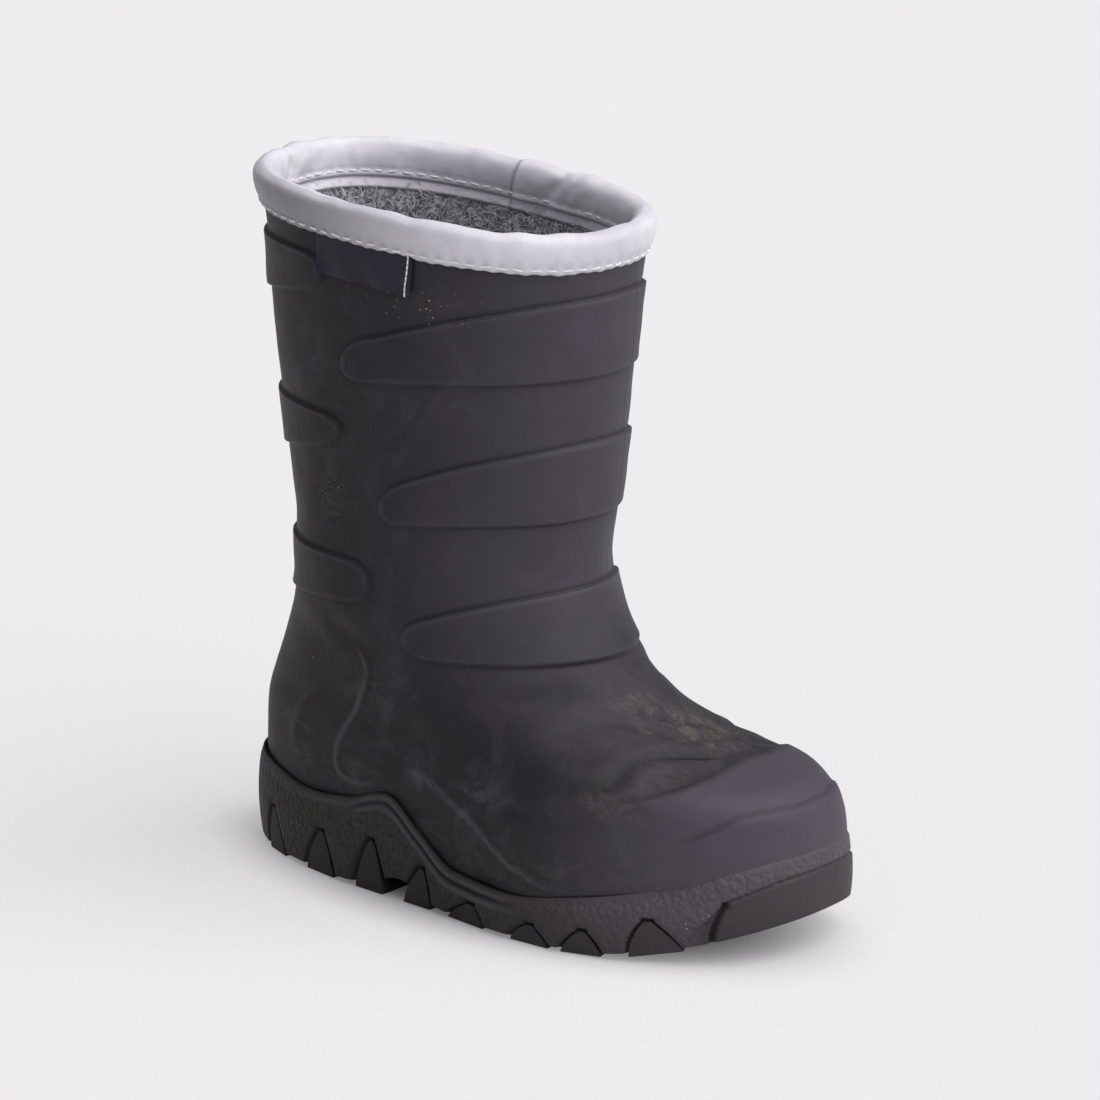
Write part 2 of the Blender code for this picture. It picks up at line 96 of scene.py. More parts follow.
notch_round = 0.0005
bar_flare = 1.15
binding_outside = 0.0086
binding_inside = 0.0150
tab_width = 0.0345
tab_drop = 0.0110
tab_ahead = 0.0572
tab_thickness = 0.00045
insole_thickness = 0.0035
clearance = 0.0003

# How finely the pieces are made: points around, and points down where a row has its own
shell_columns = 408
shell_inner_rows = 34
sole_columns = 860
binding_columns = 780
binding_rows = 64
felt_columns = 330
felt_rows = 120
insole_columns = 240
tab_columns = 110
tab_rows = 40

Section = namedtuple(
    "Section",
    "name front_reach front_rise back_reach back_rise width widest front_round back_round arch sag",
)
FOOT_SECTIONS = (
    Section("feather line", 0.966, 0.270, 0.034, 0.185, 0.950, 0.640, 2.45, 2.60, 0.10, 0.125),
    Section("sole line", 0.981, 0.390, 0.013, 0.310, 0.990, 0.635, 2.45, 2.60, 0.08, 0.090),
    Section("toe wall", 0.974, 0.530, 0.007, 0.450, 1.000, 0.630, 2.40, 2.50, 0.06, 0.040),
    Section("toe edge", 0.946, 0.628, 0.006, 0.580, 0.978, 0.620, 2.35, 2.40, 0.04, 0.010),
    Section("toe crown", 0.880, 0.672, 0.017, 0.710, 0.943, 0.600, 2.20, 2.30, 0.02, 0.0),
    Section("low vamp", 0.787, 0.738, 0.034, 0.830, 0.922, 0.570, 2.08, 2.25, 0.0, 0.0),
    Section("vamp", 0.705, 0.835, 0.050, 0.950, 0.908, 0.540, 2.04, 2.20, 0.0, 0.0),
)
SHAFT_SECTIONS = (
    Section("instep", 1.026, 0.000, 0.098, 0.030, 0.888, 0.500, 2.08, 2.15, 0.0, 0.0),
    Section("bend", 0.971, 0.080, 0.109, 0.110, 0.900, 0.500, 2.12, 2.15, 0.0, 0.0),
    Section("ankle", 0.943, 0.190, 0.105, 0.220, 0.905, 0.500, 2.15, 2.15, 0.0, 0.0),
    Section("low calf", 0.956, 0.350, 0.071, 0.380, 0.915, 0.500, 2.15, 2.15, 0.0, 0.0),
    Section("calf", 0.979, 0.560, 0.039, 0.595, 0.940, 0.500, 2.20, 2.20, 0.0, 0.0),
    Section("high calf", 0.988, 0.765, 0.024, 0.800, 0.965, 0.500, 2.30, 2.30, 0.0, 0.0),
    Section("collar", 1.006, 0.953, -0.007, 1.000, 0.980, 0.500, 2.45, 2.45, 0.0, 0.0),
)

# Raised bands: heights and drops as shares of collar_height, angles in degrees from the front
Band = namedtuple(
    "Band",
    "name front_top front_bottom top_drop bottom_drop tip rear_top rear_bottom rear_rise rear_end",
)
BANDS = (
    Band("lower", 0.4605, 0.3660, 0.062, 0.010, 85.0, 0.480, 0.388, 0.036, 93.0),
    Band("middle", 0.6740, 0.5640, 0.083, 0.020, 88.0, 0.686, 0.592, 0.055, 101.0),
    Band("upper", 0.8855, 0.7725, 0.095, 0.032, 99.0, 0.915, 0.822, 0.045, 104.0),
)
tip_curve = 2.5
rear_curve = 1.5
band_degree = 0.64*MM
band_tip_round = 5.0*MM
band_rear_round = 6.5*MM
band_groove = 0.22*MM

# The toe cap's edge
cap_crown = 4.30
cap_fall = 2.42
cap_spread = 82.0
cap_curve = 1.6
cap_above_sole = 0.45
cap_soft = 0.0022
cap_soft_aside = 0.0020

# The sole's upper edge: share of boot_length from the heel's back, share of sole_height
SOLE_EDGE = (
    (0.00, 1.02), (0.07, 0.98), (0.19, 0.89), (0.28, 0.97), (0.355, 1.13), (0.42, 0.84),
    (0.49, 0.52), (0.60, 0.47), (0.72, 0.60), (0.84, 0.80), (0.93, 1.12), (1.00, 1.29),
)

# Lugs: degrees around from the toe, apex as a share of sole_height, foot's width and reach
# under the sole as shares of ball_width, lean of the apex
Lug = namedtuple("Lug", "name around apex width reach lean")
SIDE_LUGS = (
    Lug("heel back", 143.0, 0.50, 0.120, 0.20, 0.10),
    Lug("heel side", 126.0, 0.49, 0.150, 0.26, -0.12),
    Lug("heel breast", 113.5, 0.58, 0.135, 0.28, -0.15),
    Lug("arch", 104.0, 0.44, 0.130, 0.24, -0.25),
    Lug("ball rear", 96.0, 0.24, 0.180, 0.30, -0.20),
    Lug("ball", 88.5, 0.22, 0.165, 0.30, -0.05),
    Lug("ball front", 77.0, 0.27, 0.155, 0.30, -0.05),
    Lug("toe side", 58.0, 0.46, 0.195, 0.28, 0.16),
)
TOE_NOTCH = Lug("toe corner", 36.0, 0.66, 0.150, 0.22, 0.15)
Bar = namedtuple("Bar", "name along across deep")
MIDDLE_BARS = (
    Bar("heel rear", 0.115, 0.26, 0.10),
    Bar("heel front", 0.255, 0.24, 0.10),
    Bar("ball rear", 0.520, 0.28, 0.10),
    Bar("ball", 0.620, 0.30, 0.10),
    Bar("ball front", 0.720, 0.28, 0.10),
    Bar("toe", 0.850, 0.24, 0.10),
)
spring_start = 0.74
spring_power = 1.6
heel_bevel = 0.07
arch_place = 0.385
arch_spread = 0.055

# Moulded lines on the shell: how far they reach sideways, height and breadth in millimetres,
# and points as degrees from the front and section position
Line = namedtuple("Line", "name reach height breadth points")
SWOOSH = Line("swoosh", 4, 0.85, 0.85, (
    (105.6, 6.31), (104.8, 6.06), (107.0, 5.47), (113.6, 4.46), (119.2, 3.40), (121.9, 2.70),
    (122.6, 2.14), (121.1, 1.80), (116.8, 1.72), (112.8, 1.90),
))
ROUNDEL = Line("roundel", 8, 0.55, 1.8, (
    (112.0, 5.05), (119.4, 4.83), (129.9, 4.01), (135.6, 3.18), (136.9, 2.43), (135.2, 1.85),
))
FOXING = Line("foxing", 9, 0.50, 0.9, (
    (107.5, 2.45), (105.4, 2.50), (102.5, 2.42), (98.7, 2.12), (95.0, 1.76), (92.3, 1.35),
    (89.9, 0.96), (85.5, 0.62), (80.8, 0.39),
))
HOLLOW = Line("hollow", 9, -0.80, 2.8, (
    (96.0, 2.44), (91.4, 2.36), (85.5, 2.14), (76.4, 2.01), (68.0, 2.0),
))
foxing_step = 0.40
# The toe bumper's upper edge, in the same measures, and how far it stands out, in millimetres
bumper_step = 0.75
BUMPER = ((0.0, 2.33), (5.7, 2.33), (17.0, 2.38), (29.8, 2.31), (43.3, 1.86), (54.9, 1.58))

# The groove over the smooth toe bumper of the sole: millimetres ahead, millimetres up
TOE_GROOVE = ((168, 172.5, 176.4, 186, 190), (9.0, 12.3, 18.1, 23.4, 24.4))

# Creases where the forefoot bends, with depth and breadth in millimetres
crease_reach = 12*MM
crease_strength = 1.9
Crease = namedtuple("Crease", "name depth breadth points")
CREASES = (
    Crease("vamp long", 0.62, 1.8,
           ((14.0, 6.10), (5.6, 5.80), (-7.6, 5.46), (-17.8, 4.78), (-38.5, 3.81))),
    Crease("vamp upper", 0.35, 1.5,
           ((30.0, 5.90), (20.0, 5.55), (8.0, 5.20), (-6.0, 4.95), (-20.0, 4.62))),
    Crease("over cap", 0.78, 2.0,
           ((38.0, 4.72), (21.5, 4.80), (8.1, 4.66), (-14.8, 4.40))),
    Crease("outer flex", 0.55, 2.6,
           ((80.0, 2.9), (72.9, 3.02), (60.0, 3.62), (46.0, 4.30), (34.0, 4.75))),
    Crease("inner flex", 0.50, 2.4,
           ((-80.0, 2.9), (-70.0, 3.15), (-58.0, 3.75), (-44.0, 4.45))),
    Crease("instep outer", 0.45, 3.0,
           ((64.0, 5.95), (50.0, 6.22), (34.0, 6.42), (18.0, 6.50))),
    Crease("instep inner", 0.40, 3.0,
           ((-60.0, 5.90), (-46.0, 6.20), (-30.0, 6.40))),
    Crease("ankle outer", 0.35, 4.0,
           ((118.0, 6.75), (104.0, 6.55), (92.0, 6.25))),
    Crease("ankle inner", 0.35, 4.0,
           ((-118.0, 6.75), (-104.0, 6.50), (-92.0, 6.20))),
)
# Soft dents: degrees from the front, section position, depth and radius in millimetres
DENTS = ((-22.0, 8.95, 0.9, 11.0), (58.0, 9.2, 0.4, 13.0), (128.0, 8.1, 0.4, 12.0),
         (-120.0, 10.2, 0.5, 15.0), (74.0, 5.2, 0.5, 13.0))

# Unevenness of the moulded rubber: height and length in millimetres, seed
SHELL_RIPPLES = ((0.32, 46, 3), (0.08, 15, 4))
sole_ripple = 0.10*MM
# The double ridge along the sole's waist, and the bumper at its toe
ridge_height = 0.40
ridge_trench = 0.45
toe_step = 0.35*MM
toe_trench_depth = 0.30*MM

# The camera of the picture: its angles about the boot, in degrees, and its distance
camera_azimuth = 36.1
camera_elevation = 16.15
camera_roll = 1.43
camera_distance = 1.7536
camera_ahead = 0.0955
camera_height = 0.100
focal_pixels = 6174.5
picture_pixels = 1100
film_width = 36.0


def smooth_step(x):
    x = np.clip(x, 0, 1)
    return x*x*(3 - 2*x)


def ramp(x, start, length):
    """A smooth rise from 0 to 1 over a length from its start. A negative length runs back."""
    return smooth_step((x - start)/length)


def rounded_step(x, soft):
    """A step from 0 to 1 centred where x is 0, rounded over a breadth."""
    return smooth_step(x/soft + 0.5)


def bell(x, breadth):
    """A smooth hump: 1 where x is 0, fading over the breadth."""
    return np.exp(-(x/breadth)**2)


def fading(share, power, end=0.02):
    """Strength along a line: 1 at its middle, and little at its ends."""
    return np.sin(np.pi*np.clip(share, end, 1 - end))**power


def sized_sections():
    """The sections in metres: the foot's lie along the boot, and the shaft's stand on them."""
    rise = collar_height - instep_height
    parts = (
        (FOOT_SECTIONS, 0, boot_length, 0, instep_height, ball_width),
        (SHAFT_SECTIONS, shaft_setback, shaft_length, instep_height, rise, shaft_width),
    )
    return np.array([
        [start + s.front_reach*length, base + s.front_rise*height,
         start + s.back_reach*length, base + s.back_rise*height,
         s.width*width/2, s.widest, s.front_round, s.back_round, s.arch, s.sag*instep_height]
        for sections, start, length, base, height, width in parts for s in sections
    ])


def through_rows(table, place):
    """A smooth curve through the table's rows that overshoots none of them."""
    place = np.asarray(place, float)
    step = np.diff(table, axis=0)
    slope = np.zeros_like(table)
    same_way = step[:-1]*step[1:] > 0
    total = np.where(same_way, step[:-1] + step[1:], 1.0)
    slope[1:-1] = np.where(same_way, 2*step[:-1]*step[1:]/total, 0.0)
    slope[0] = step[0]
    slope[-1] = step[-1]
    low = np.clip(place.astype(int), 0, len(table) - 2)
    t = (place - low)[..., None]
    return (
        table[low]*(1 + 2*t)*(1 - t)**2 + slope[low]*t*(1 - t)**2
        + table[low + 1]*t*t*(3 - 2*t) + slope[low + 1]*t*t*(t - 1)
    )


SECTIONS = sized_sections()
TOP = len(SECTIONS) - 1.0


def outline_point(around, row):
    """A point of a section's outline, at an angle from its front, from its row of sizes."""
    front, front_up, back, back_up, half, widest, front_round, back_round, arch, sag = (
        np.moveaxis(row, -1, 0)
    )
    c = np.cos(around)
    s = np.sin(around)
    power = 2/np.where(c < 0, back_round, front_round)
    lengthwise = np.sign(c)*np.abs(c)**power
    sideways = np.sign(s)*np.abs(s)**power
    along = np.where(c < 0, widest*(1 + lengthwise), widest + (1 - widest)*lengthwise)
    ahead = back + (front - back)*along
    up = back_up + (front_up - back_up)*along - sag*np.sin(np.pi*along**sag_skew)**2
    waist_side = np.where(s > 0, outer_waist, inner_waist)
    waist = 1 - arch*waist_side*bell(along - waist_place, waist_spread)
    fade = (curve_fades_to - up/instep_height)/(curve_fades_to - curve_fades_from)
    on_foot = np.clip(fade, 0, 1)
    share = ahead/boot_length
    bow = ball_bow*bell(share - bow_place, bow_spread)
    bend = toe_bend*np.clip((share - bend_start)/(1 - bend_start), 0, 1)**2
    side = half*sideways*waist + on_foot*(bow - bend)
    return np.stack([ahead, side, up], -1)


def shell_point(around, place):
    around, place = np.broadcast_arrays(around, place)
    return outline_point(around, through_rows(SECTIONS, place))


def shell_normal(around, place):
    turn = 1e-3
    lift = 1e-3
    high = np.minimum(place + lift, TOP)
    across = shell_point(around + turn, place) - shell_point(around - turn, place)
    upward = shell_point(around, high) - shell_point(around, high - 2*lift)
    normal = np.cross(across, upward)
    return normal/np.linalg.norm(normal, axis=-1, keepdims=True)


def offset_point(around, place, out):
    around, place, out = np.broadcast_arrays(around, place, out)
    return shell_point(around, place) + shell_normal(around, place)*out[..., None]


def place_at_height(around, height):
    """The section position at which the shell's surface reaches a height."""
    around, height = np.broadcast_arrays(np.asarray(around, float), np.asarray(height, float))
    low = np.zeros(around.shape)
    high = np.full(around.shape, TOP)
    for _ in range(26):
        middle = (low + high)/2
        below = shell_point(around, middle)[..., 2] < height
        low = np.where(below, middle, low)
        high = np.where(below, high, middle)
    return (low + high)/2


def sole_edge_height(ahead):
    """Height of the sole's upper edge."""
    along = np.array([e[0] for e in SOLE_EDGE])
    rise = np.array([[e[1]] for e in SOLE_EDGE])
    share = np.clip(ahead/boot_length, 0, 1)
    place = np.interp(share, along, np.arange(len(along)))
    return through_rows(rise, place)[..., 0]*sole_height


def sole_edge_place(around):
    """The section position at which the sole's upper edge meets the shell."""
    place = np.full(np.shape(around), 1.0)
    for _ in range(12):
        ahead = shell_point(around, place)[..., 0]
        place = place_at_height(around, sole_edge_height(ahead))
    return place


def ground_line(ahead):
    share = ahead/boot_length
    toe = np.clip((share - spring_start)/(1 - spring_start), 0, 1)
    heel = np.clip((heel_bevel - share)/heel_bevel, 0, 1)
    return toe_spring*toe**spring_power + heel_lift*heel**2


def underside(ahead):
    share = ahead/boot_length
    arch = arch_lift*bell(share - arch_place, arch_spread)
    return ground_line(ahead) + tread_depth + arch


def below_rim(around, distance):
    return place_at_height(around, shell_point(around, TOP)[..., 2] - distance)


def from_front(around):
    """Degrees around from the front, the same on both sides."""
    return np.abs(np.degrees((around + np.pi) % (2*np.pi) - np.pi))


def band_edges(band, angle, past_tip=0.0, past_end=0.0):
    """The band's edges as shares of collar_height: top and bottom ahead, then behind."""
    ahead = np.clip(angle/band.tip, 0, 1 + past_tip)**tip_curve
    behind = np.clip((180 - angle)/(180 - band.rear_end), 0, 1 + past_end)**rear_curve
    return (band.front_top - band.top_drop*ahead, band.front_bottom - band.bottom_drop*ahead,
            band.rear_top + 0*behind, band.rear_bottom + band.rear_rise*behind)


def band_lines(band, around):
    """Heights of a band's top and bottom edges all the way round."""
    angle = from_front(around)
    front_top, front_bottom, rear_top, rear_bottom = band_edges(band, angle)
    across = ramp(angle, band.tip, band.rear_end - band.tip)
    top = front_top + (rear_top - front_top)*across
    bottom = front_bottom + (rear_bottom - front_bottom)*across
    return top*collar_height, bottom*collar_height


def cap_line(around):
    share = np.clip(from_front(around)/cap_spread, 0, 1)
    return cap_crown - cap_fall*share**cap_curve


def ripple(points, wavelength, seed, waves=14):
    """Smooth lumps about -1 to 1 high, from waves that cross each other."""
    rng = np.random.default_rng(seed)
    way = rng.normal(size=(waves, 3))
    way /= np.linalg.norm(way, axis=1, keepdims=True)
    way *= rng.uniform(0.7, 1.5, (waves, 1))*2*np.pi/wavelength
    phase = rng.uniform(0, 2*np.pi, waves)
    return np.cos(points @ way.T + phase).sum(-1)*0.85/np.sqrt(waves)


def spread_angles(count):
    """Angles once around, closer together on the sides, where the bands end."""
    fine = np.linspace(-np.pi, np.pi, 4001)
    weight = 1 + 1.3*np.exp(-((from_front(fine) - 107)/22)**4)
    total = np.concatenate([[0], np.cumsum((weight[1:] + weight[:-1])/2)])
    return np.interp(np.arange(count)/count, total/total[-1], fine)


def insole_rings(around, thickness):
    inner_edge = below_rim(around, binding_inside)
    out = -wall - clearance
    bottom = offset_point(around, 0.0*around, out)
    above = offset_point(around, 0.12*inner_edge, out)
    climb = thickness/(above[..., 2] - bottom[..., 2])
    return bottom, bottom + (above - bottom)*climb[..., None]


def to_world(points):
    points = np.asarray(points)
    return np.stack([-points[..., 1], boot_length/2 - points[..., 0], points[..., 2]], -1)


def find_shift():
    """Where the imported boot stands, found from its insole."""
    rings = to_world(np.concatenate(insole_rings(np.linspace(0, 2*np.pi, 64, endpoint=False),
                                                 insole_thickness)))
    low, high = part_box("insole")
    middle = (rings.min(0) + rings.max(0))/2
    return (np.array(low) + np.array(high))/2 - middle


shift = find_shift()


def tube_faces(rows, columns, closed=False):
    """Quads between rings of equal length."""
    i = np.arange(rows if closed else rows - 1)[:, None]
    k = np.arange(columns)[None, :]
    j = (i + 1) % rows
    n = (k + 1) % columns
    return np.stack([i*columns + k, i*columns + n, j*columns + n, j*columns + k],
                    -1).reshape(-1, 4).tolist()


def capped_faces(rows, columns):
    """Quads between rings, with a face over each end."""
    last = (rows - 1)*columns
    return tube_faces(rows, columns) + [tuple(range(columns)), tuple(range(last, last + columns))]


def ladder_faces(start, count):
    """Faces across a ring whose points mirror each other about its first and middle points."""
    half = count//2
    faces = [(start, start + 1, start + count - 1)]
    for k in range(1, half - 1):
        faces.append((start + k, start + k + 1, start + count - k - 1, start + count - k))
    faces.append((start + half - 1, start + half, start + half + 1))
    return faces


def closed_faces(rows, count):
    """Quads between rings, with a ladder over each end."""
    return tube_faces(rows, count) + ladder_faces(0, count) + ladder_faces((rows - 1)*count, count)


def write_masks(mesh, masks):
    for mask, values in masks.items():
        layer = mesh.attributes.new(mask, "FLOAT", "POINT")
        layer.data.foreach_set("value", np.asarray(values, np.float32).ravel())


def add_object(name, data):
    thing = bpy.data.objects.new(name, data)
    bpy.context.scene.collection.objects.link(thing)
    return thing


def add_piece(name, points, faces, material, masks=None):
    """A smooth mesh from points in the boot's directions, with per-point masks for its material."""
    mesh = bpy.data.meshes.new(name)
    places = to_world(points) + shift
    mesh.from_pydata(places.tolist(), [], faces)
    work = bmesh.new()
    work.from_mesh(mesh)
    bmesh.ops.recalc_face_normals(work, faces=work.faces)
    work.to_mesh(mesh)
    work.free()
    mesh.shade_smooth()
    write_masks(mesh, masks or {})
    mesh.materials.append(material)
    thing = add_object(name, mesh)
    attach(thing, "root")
    return thing


class Paint:
    """A material in the making: its colour and normal so far, and short ways to write nodes."""

    def __init__(self, name):
        self.material = bpy.data.materials.new(name)
        self.material.use_nodes = True
        self.tree = self.material.node_tree
        self.here = self.node("ShaderNodeTexCoord").outputs["Object"]
        self.normal = None

    def put(self, socket, value):
        if isinstance(value, bpy.types.NodeSocket):
            self.tree.links.new(value, socket)
        elif socket.type == "RGBA":
            socket.default_value = (*value, 1.0)
        else:
            socket.default_value = value

    def node(self, kind, inputs=None, **settings):
        node = self.tree.nodes.new(kind)
        for key, value in settings.items():
            setattr(node, key, value)
        for key, value in (inputs or {}).items():
            self.put(node.inputs[key], value)
        return node

    def maths(self, operation, *values):
        inputs = dict(enumerate(values))
        return self.node("ShaderNodeMath", inputs, operation=operation).outputs[0]

    def times(self, product, *factors):
        for factor in factors:
            product = self.maths("MULTIPLY", product, factor)
        return product

    def scaled(self, value, factor, base):
        return self.maths("MULTIPLY_ADD", value, factor, base)

    def span(self, value, low, high, to_low=0.0, to_high=1.0):
        """The value mapped smoothly from low..high to to_low..to_high, and clamped."""
        return self.node("ShaderNodeMapRange", {
            "Value": value, "From Min": low, "From Max": high,
            "To Min": to_low, "To Max": to_high,
        }, interpolation_type="SMOOTHSTEP").outputs["Result"]

    def mask(self, name):
        return self.node("ShaderNodeAttribute", attribute_name=name).outputs["Fac"]

    def stretched(self, factors):
        return self.node("ShaderNodeVectorMath", {0: self.here, 1: factors},
                         operation="MULTIPLY").outputs[0]

    def noise(self, scale, detail, roughness, distortion=0.0, vector=None):
        return self.node("ShaderNodeTexNoise", {
            "Vector": vector or self.here, "Scale": scale, "Detail": detail,
            "Roughness": roughness, "Distortion": distortion,
        }).outputs["Fac"]

    def spots(self, scale, feature="F1"):
        return self.node("ShaderNodeTexVoronoi", {"Vector": self.here, "Scale": scale},
                         feature=feature).outputs["Distance"]

    def base(self, share, a, b):
        mix = self.node("ShaderNodeMix", {0: share, 6: a, 7: b}, data_type="RGBA")
        self.colour = mix.outputs[2]

    def tint(self, share, colour, strength=None):
        """Lays a colour over what is there, by a share or by the name of a mask."""
        if isinstance(share, str):
            share = self.mask(share)
        if strength is not None:
            share = self.times(share, strength)
        self.base(share, self.colour, colour)

    def bump(self, height, distance, strength=1.0):
        under = {} if self.normal is None else {"Normal": self.normal}
        self.normal = self.node("ShaderNodeBump", {
            "Height": height, "Distance": distance, "Strength": strength, **under,
        }).outputs["Normal"]

    def complete(self, **sockets):
        """The material, with its shader's sockets fed."""
        if self.normal is not None:
            sockets["Normal"] = self.normal
        shader = self.tree.nodes["Principled BSDF"]
        for key, value in {"Base_Color": self.colour, **sockets}.items():
            self.put(shader.inputs[key.replace("_", " ")], value)
        return self.material


RUBBER = (0.0085, 0.0068, 0.0092)
RUBBER_PALE = (0.0125, 0.0102, 0.0135)
RUBBER_HIGHLIGHT = (0.120, 0.112, 0.130)
RUBBER_SHADE = (0.006, 0.0055, 0.0065)
TREAD = (0.0105, 0.0082, 0.0082)
TREAD_PALE = (0.0145, 0.0114, 0.0118)
TREAD_BLOOM_AND_PAINTED_LIGHT = (0.080, 0.070, 0.083)
TREAD_HIGHLIGHT = (0.110, 0.100, 0.112)
TREAD_SHADE = (0.004, 0.0035, 0.004)
PEBBLES = (0.085, 0.078, 0.086)
TREAD_DUST = (0.072, 0.054, 0.040)
BLOOM_AND_PAINTED_LIGHT = (0.079, 0.069, 0.090)
MUD = (0.140, 0.126, 0.098)
SAND = (0.62, 0.50, 0.30)
LINT = (0.55, 0.55, 0.55)
TAPE = (0.580, 0.570, 0.618)
TAPE_PALE = (0.690, 0.678, 0.728)
TAPE_FLANGE = (0.84, 0.82, 0.88)
TAPE_GRIME = (0.330, 0.315, 0.335)
TAPE_SHADE = (0.150, 0.144, 0.154)
TAPE_SEAM_SHADE = (0.100, 0.095, 0.115)
THREAD = (0.80, 0.79, 0.82)
FELT = (0.030, 0.030, 0.036)
FELT_MIDDLE = (0.620, 0.612, 0.690)
FELT_PALE = (0.94, 0.93, 0.98)
FIBRE = (0.100, 0.100, 0.115)
FIBRE_PALE = (0.96, 0.95, 0.98)
RIBBON = (0.009, 0.008, 0.018)
RIBBON_PALE = (0.034, 0.030, 0.054)
RIBBON_FUZZ = (0.090, 0.085, 0.110)
PAPER = (0.285, 0.281, 0.285)
PAPER_PALE = (0.315, 0.311, 0.315)
mould_seam_side = 0.0125


def rubber_material():
    """Matt moulded rubber with a grey bloom that is partly painted light on the faces turned ahead,
    scuffs, dried mud, a few grains of sand, painted highlights on ridges and lips, and painted
    shade in grooves and creases.
    """
    paint = Paint("shell_rubber")
    broad = paint.noise(28, 5, 0.6)
    fine = paint.noise(420, 3, 0.6)
    cloud = paint.span(paint.noise(60, 6, 0.68, 1.0), 0.46, 0.70)
    paint.base(paint.span(broad, 0.35, 0.7), RUBBER, RUBBER_PALE)
    # Grey bloom, partly painted light on the faces turned ahead and on the toe
    paint.tint("bloom_and_painted_light", BLOOM_AND_PAINTED_LIGHT, 0.70)
    paint.tint(paint.times(cloud, paint.scaled(paint.mask("scuff"), 0.45, 0.16)), BLOOM_AND_PAINTED_LIGHT)
    # Painted highlights on ridges and lips
    paint.tint("painted_highlight", RUBBER_HIGHLIGHT, 0.55)
    # Painted shade in grooves, trenches and creases
    paint.tint("groove_shade", RUBBER_SHADE, 0.75)
    dust_grain = paint.span(paint.noise(900, 2, 0.7), 0.40, 0.62)
    streaks = paint.noise(190, 6, 0.72, 1.2, paint.stretched((1.0, 0.4, 1.0)))
    mud = paint.times(paint.mask("mud"), paint.span(streaks, 0.38, 0.72),
                      paint.scaled(dust_grain, 0.6, 0.4))
    paint.tint(mud, MUD)
    speck = paint.times(paint.span(paint.spots(620), 0.19, 0.08),
                        paint.span(paint.noise(230, 1, 0.5), 0.44, 0.52), paint.mask("sand"))
    paint.tint(speck, SAND)
    lint = paint.times(paint.span(paint.spots(95), 0.045, 0.02),
                       paint.span(paint.noise(36, 1, 0.5), 0.60, 0.66))
    paint.tint(lint, LINT, 0.7)
    rough = paint.scaled(mud, 0.3, paint.scaled(broad, 0.16, 0.46))
    rough = paint.scaled(fine, 0.05, rough)
    axes = paint.node("ShaderNodeSeparateXYZ", {0: paint.here})
    off_seam = paint.maths("ABSOLUTE", paint.maths("SUBTRACT", axes.outputs[0], mould_seam_side))
    seam = paint.times(paint.span(off_seam, 0.0006, 0.0001),
                       paint.span(axes.outputs[2], 0.045, 0.060))
    paint.bump(seam, 0.00025)
    paint.bump(paint.noise(210, 4, 0.6), 0.00010, 0.8)
    paint.bump(fine, 0.00004, 0.9)
    paint.bump(paint.maths("ADD", mud, speck), 0.00025, 0.8)
    return paint.complete(Roughness=rough, Specular_IOR_Level=0.20, Sheen_Weight=0.02,
                          Sheen_Roughness=0.5)


def tread_material():
    """Harder black rubber: pebbled on the foxing, smooth on the lugs, dusty low down, with a grey
    bloom that is partly painted light towards the toe, painted highlights on its ridges and edge,
    and painted shade in its notches and grooves.
    """
    paint = Paint("tread_rubber")
    cells = paint.span(paint.spots(720, "SMOOTH_F1"), 0.75, 0.15)
    pebble = paint.times(cells, paint.mask("pebble"))
    broad = paint.noise(45, 5, 0.6)
    paint.base(paint.span(broad, 0.35, 0.7), TREAD, TREAD_PALE)
    # Grey bloom, partly painted light towards the toe
    paint.tint("bloom_and_painted_light", TREAD_BLOOM_AND_PAINTED_LIGHT, 0.84)
    # Painted highlights on the waist's ridges and the upper edge
    paint.tint("painted_highlight", TREAD_HIGHLIGHT, 0.50)
    paint.tint(pebble, PEBBLES, 0.16)
    dust = paint.times(paint.span(paint.noise(120, 6, 0.7, 0.8), 0.40, 0.70), paint.mask("mud"))
    paint.tint(dust, TREAD_DUST, 0.38)
    # Painted shade in the notches and grooves
    paint.tint("groove_shade", TREAD_SHADE, 0.85)
    speck = paint.times(paint.span(paint.spots(520), 0.13, 0.05), paint.mask("sand"),
                        paint.span(paint.noise(260, 1, 0.5), 0.44, 0.54))
    paint.tint(speck, SAND)
    rough = paint.scaled(dust, 0.25, paint.scaled(broad, 0.15, 0.52))
    paint.bump(pebble, 0.00035, 0.9)
    paint.bump(paint.noise(260, 4, 0.6), 0.00010, 0.8)
    paint.bump(paint.maths("ADD", dust, speck), 0.00020, 0.7)
    return paint.complete(Roughness=rough, Specular_IOR_Level=0.22, Sheen_Weight=0.02,
                          Sheen_Roughness=0.5)


def binding_material():
    """Coated grey tape with a fine weave under its face, and a little grime."""
    paint = Paint("binding_cloth")
    broad = paint.noise(60, 5, 0.6)
    paint.base(paint.span(broad, 0.3, 0.75), TAPE, TAPE_PALE)
    paint.tint("flange", TAPE_FLANGE, 0.75)
    paint.tint(paint.span(paint.noise(170, 6, 0.7, 1.0), 0.50, 0.75), TAPE_GRIME, 0.22)
    paint.tint("shade", TAPE_SHADE)
    # Painted shade along seams, under the inner edge and between stitches
    paint.tint("groove_shade", TAPE_SEAM_SHADE, 0.7)
    paint.bump(paint.noise(240, 4, 0.6), 0.00014, 0.8)
    paint.bump(paint.noise(1500, 2, 0.6), 0.00004, 0.8)
    return paint.complete(Roughness=paint.scaled(broad, 0.18, 0.46), Specular_IOR_Level=0.45,
                          Sheen_Weight=0.15, Sheen_Roughness=0.4)


def thread_material(name, colour):
    paint = Paint(name)
    twist = paint.noise(2600, 2, 0.6)
    paint.base(twist, tuple(c*0.80 for c in colour), colour)
    paint.bump(twist, 0.00008, 0.8)
    return paint.complete(Roughness=0.7, Sheen_Weight=0.3)


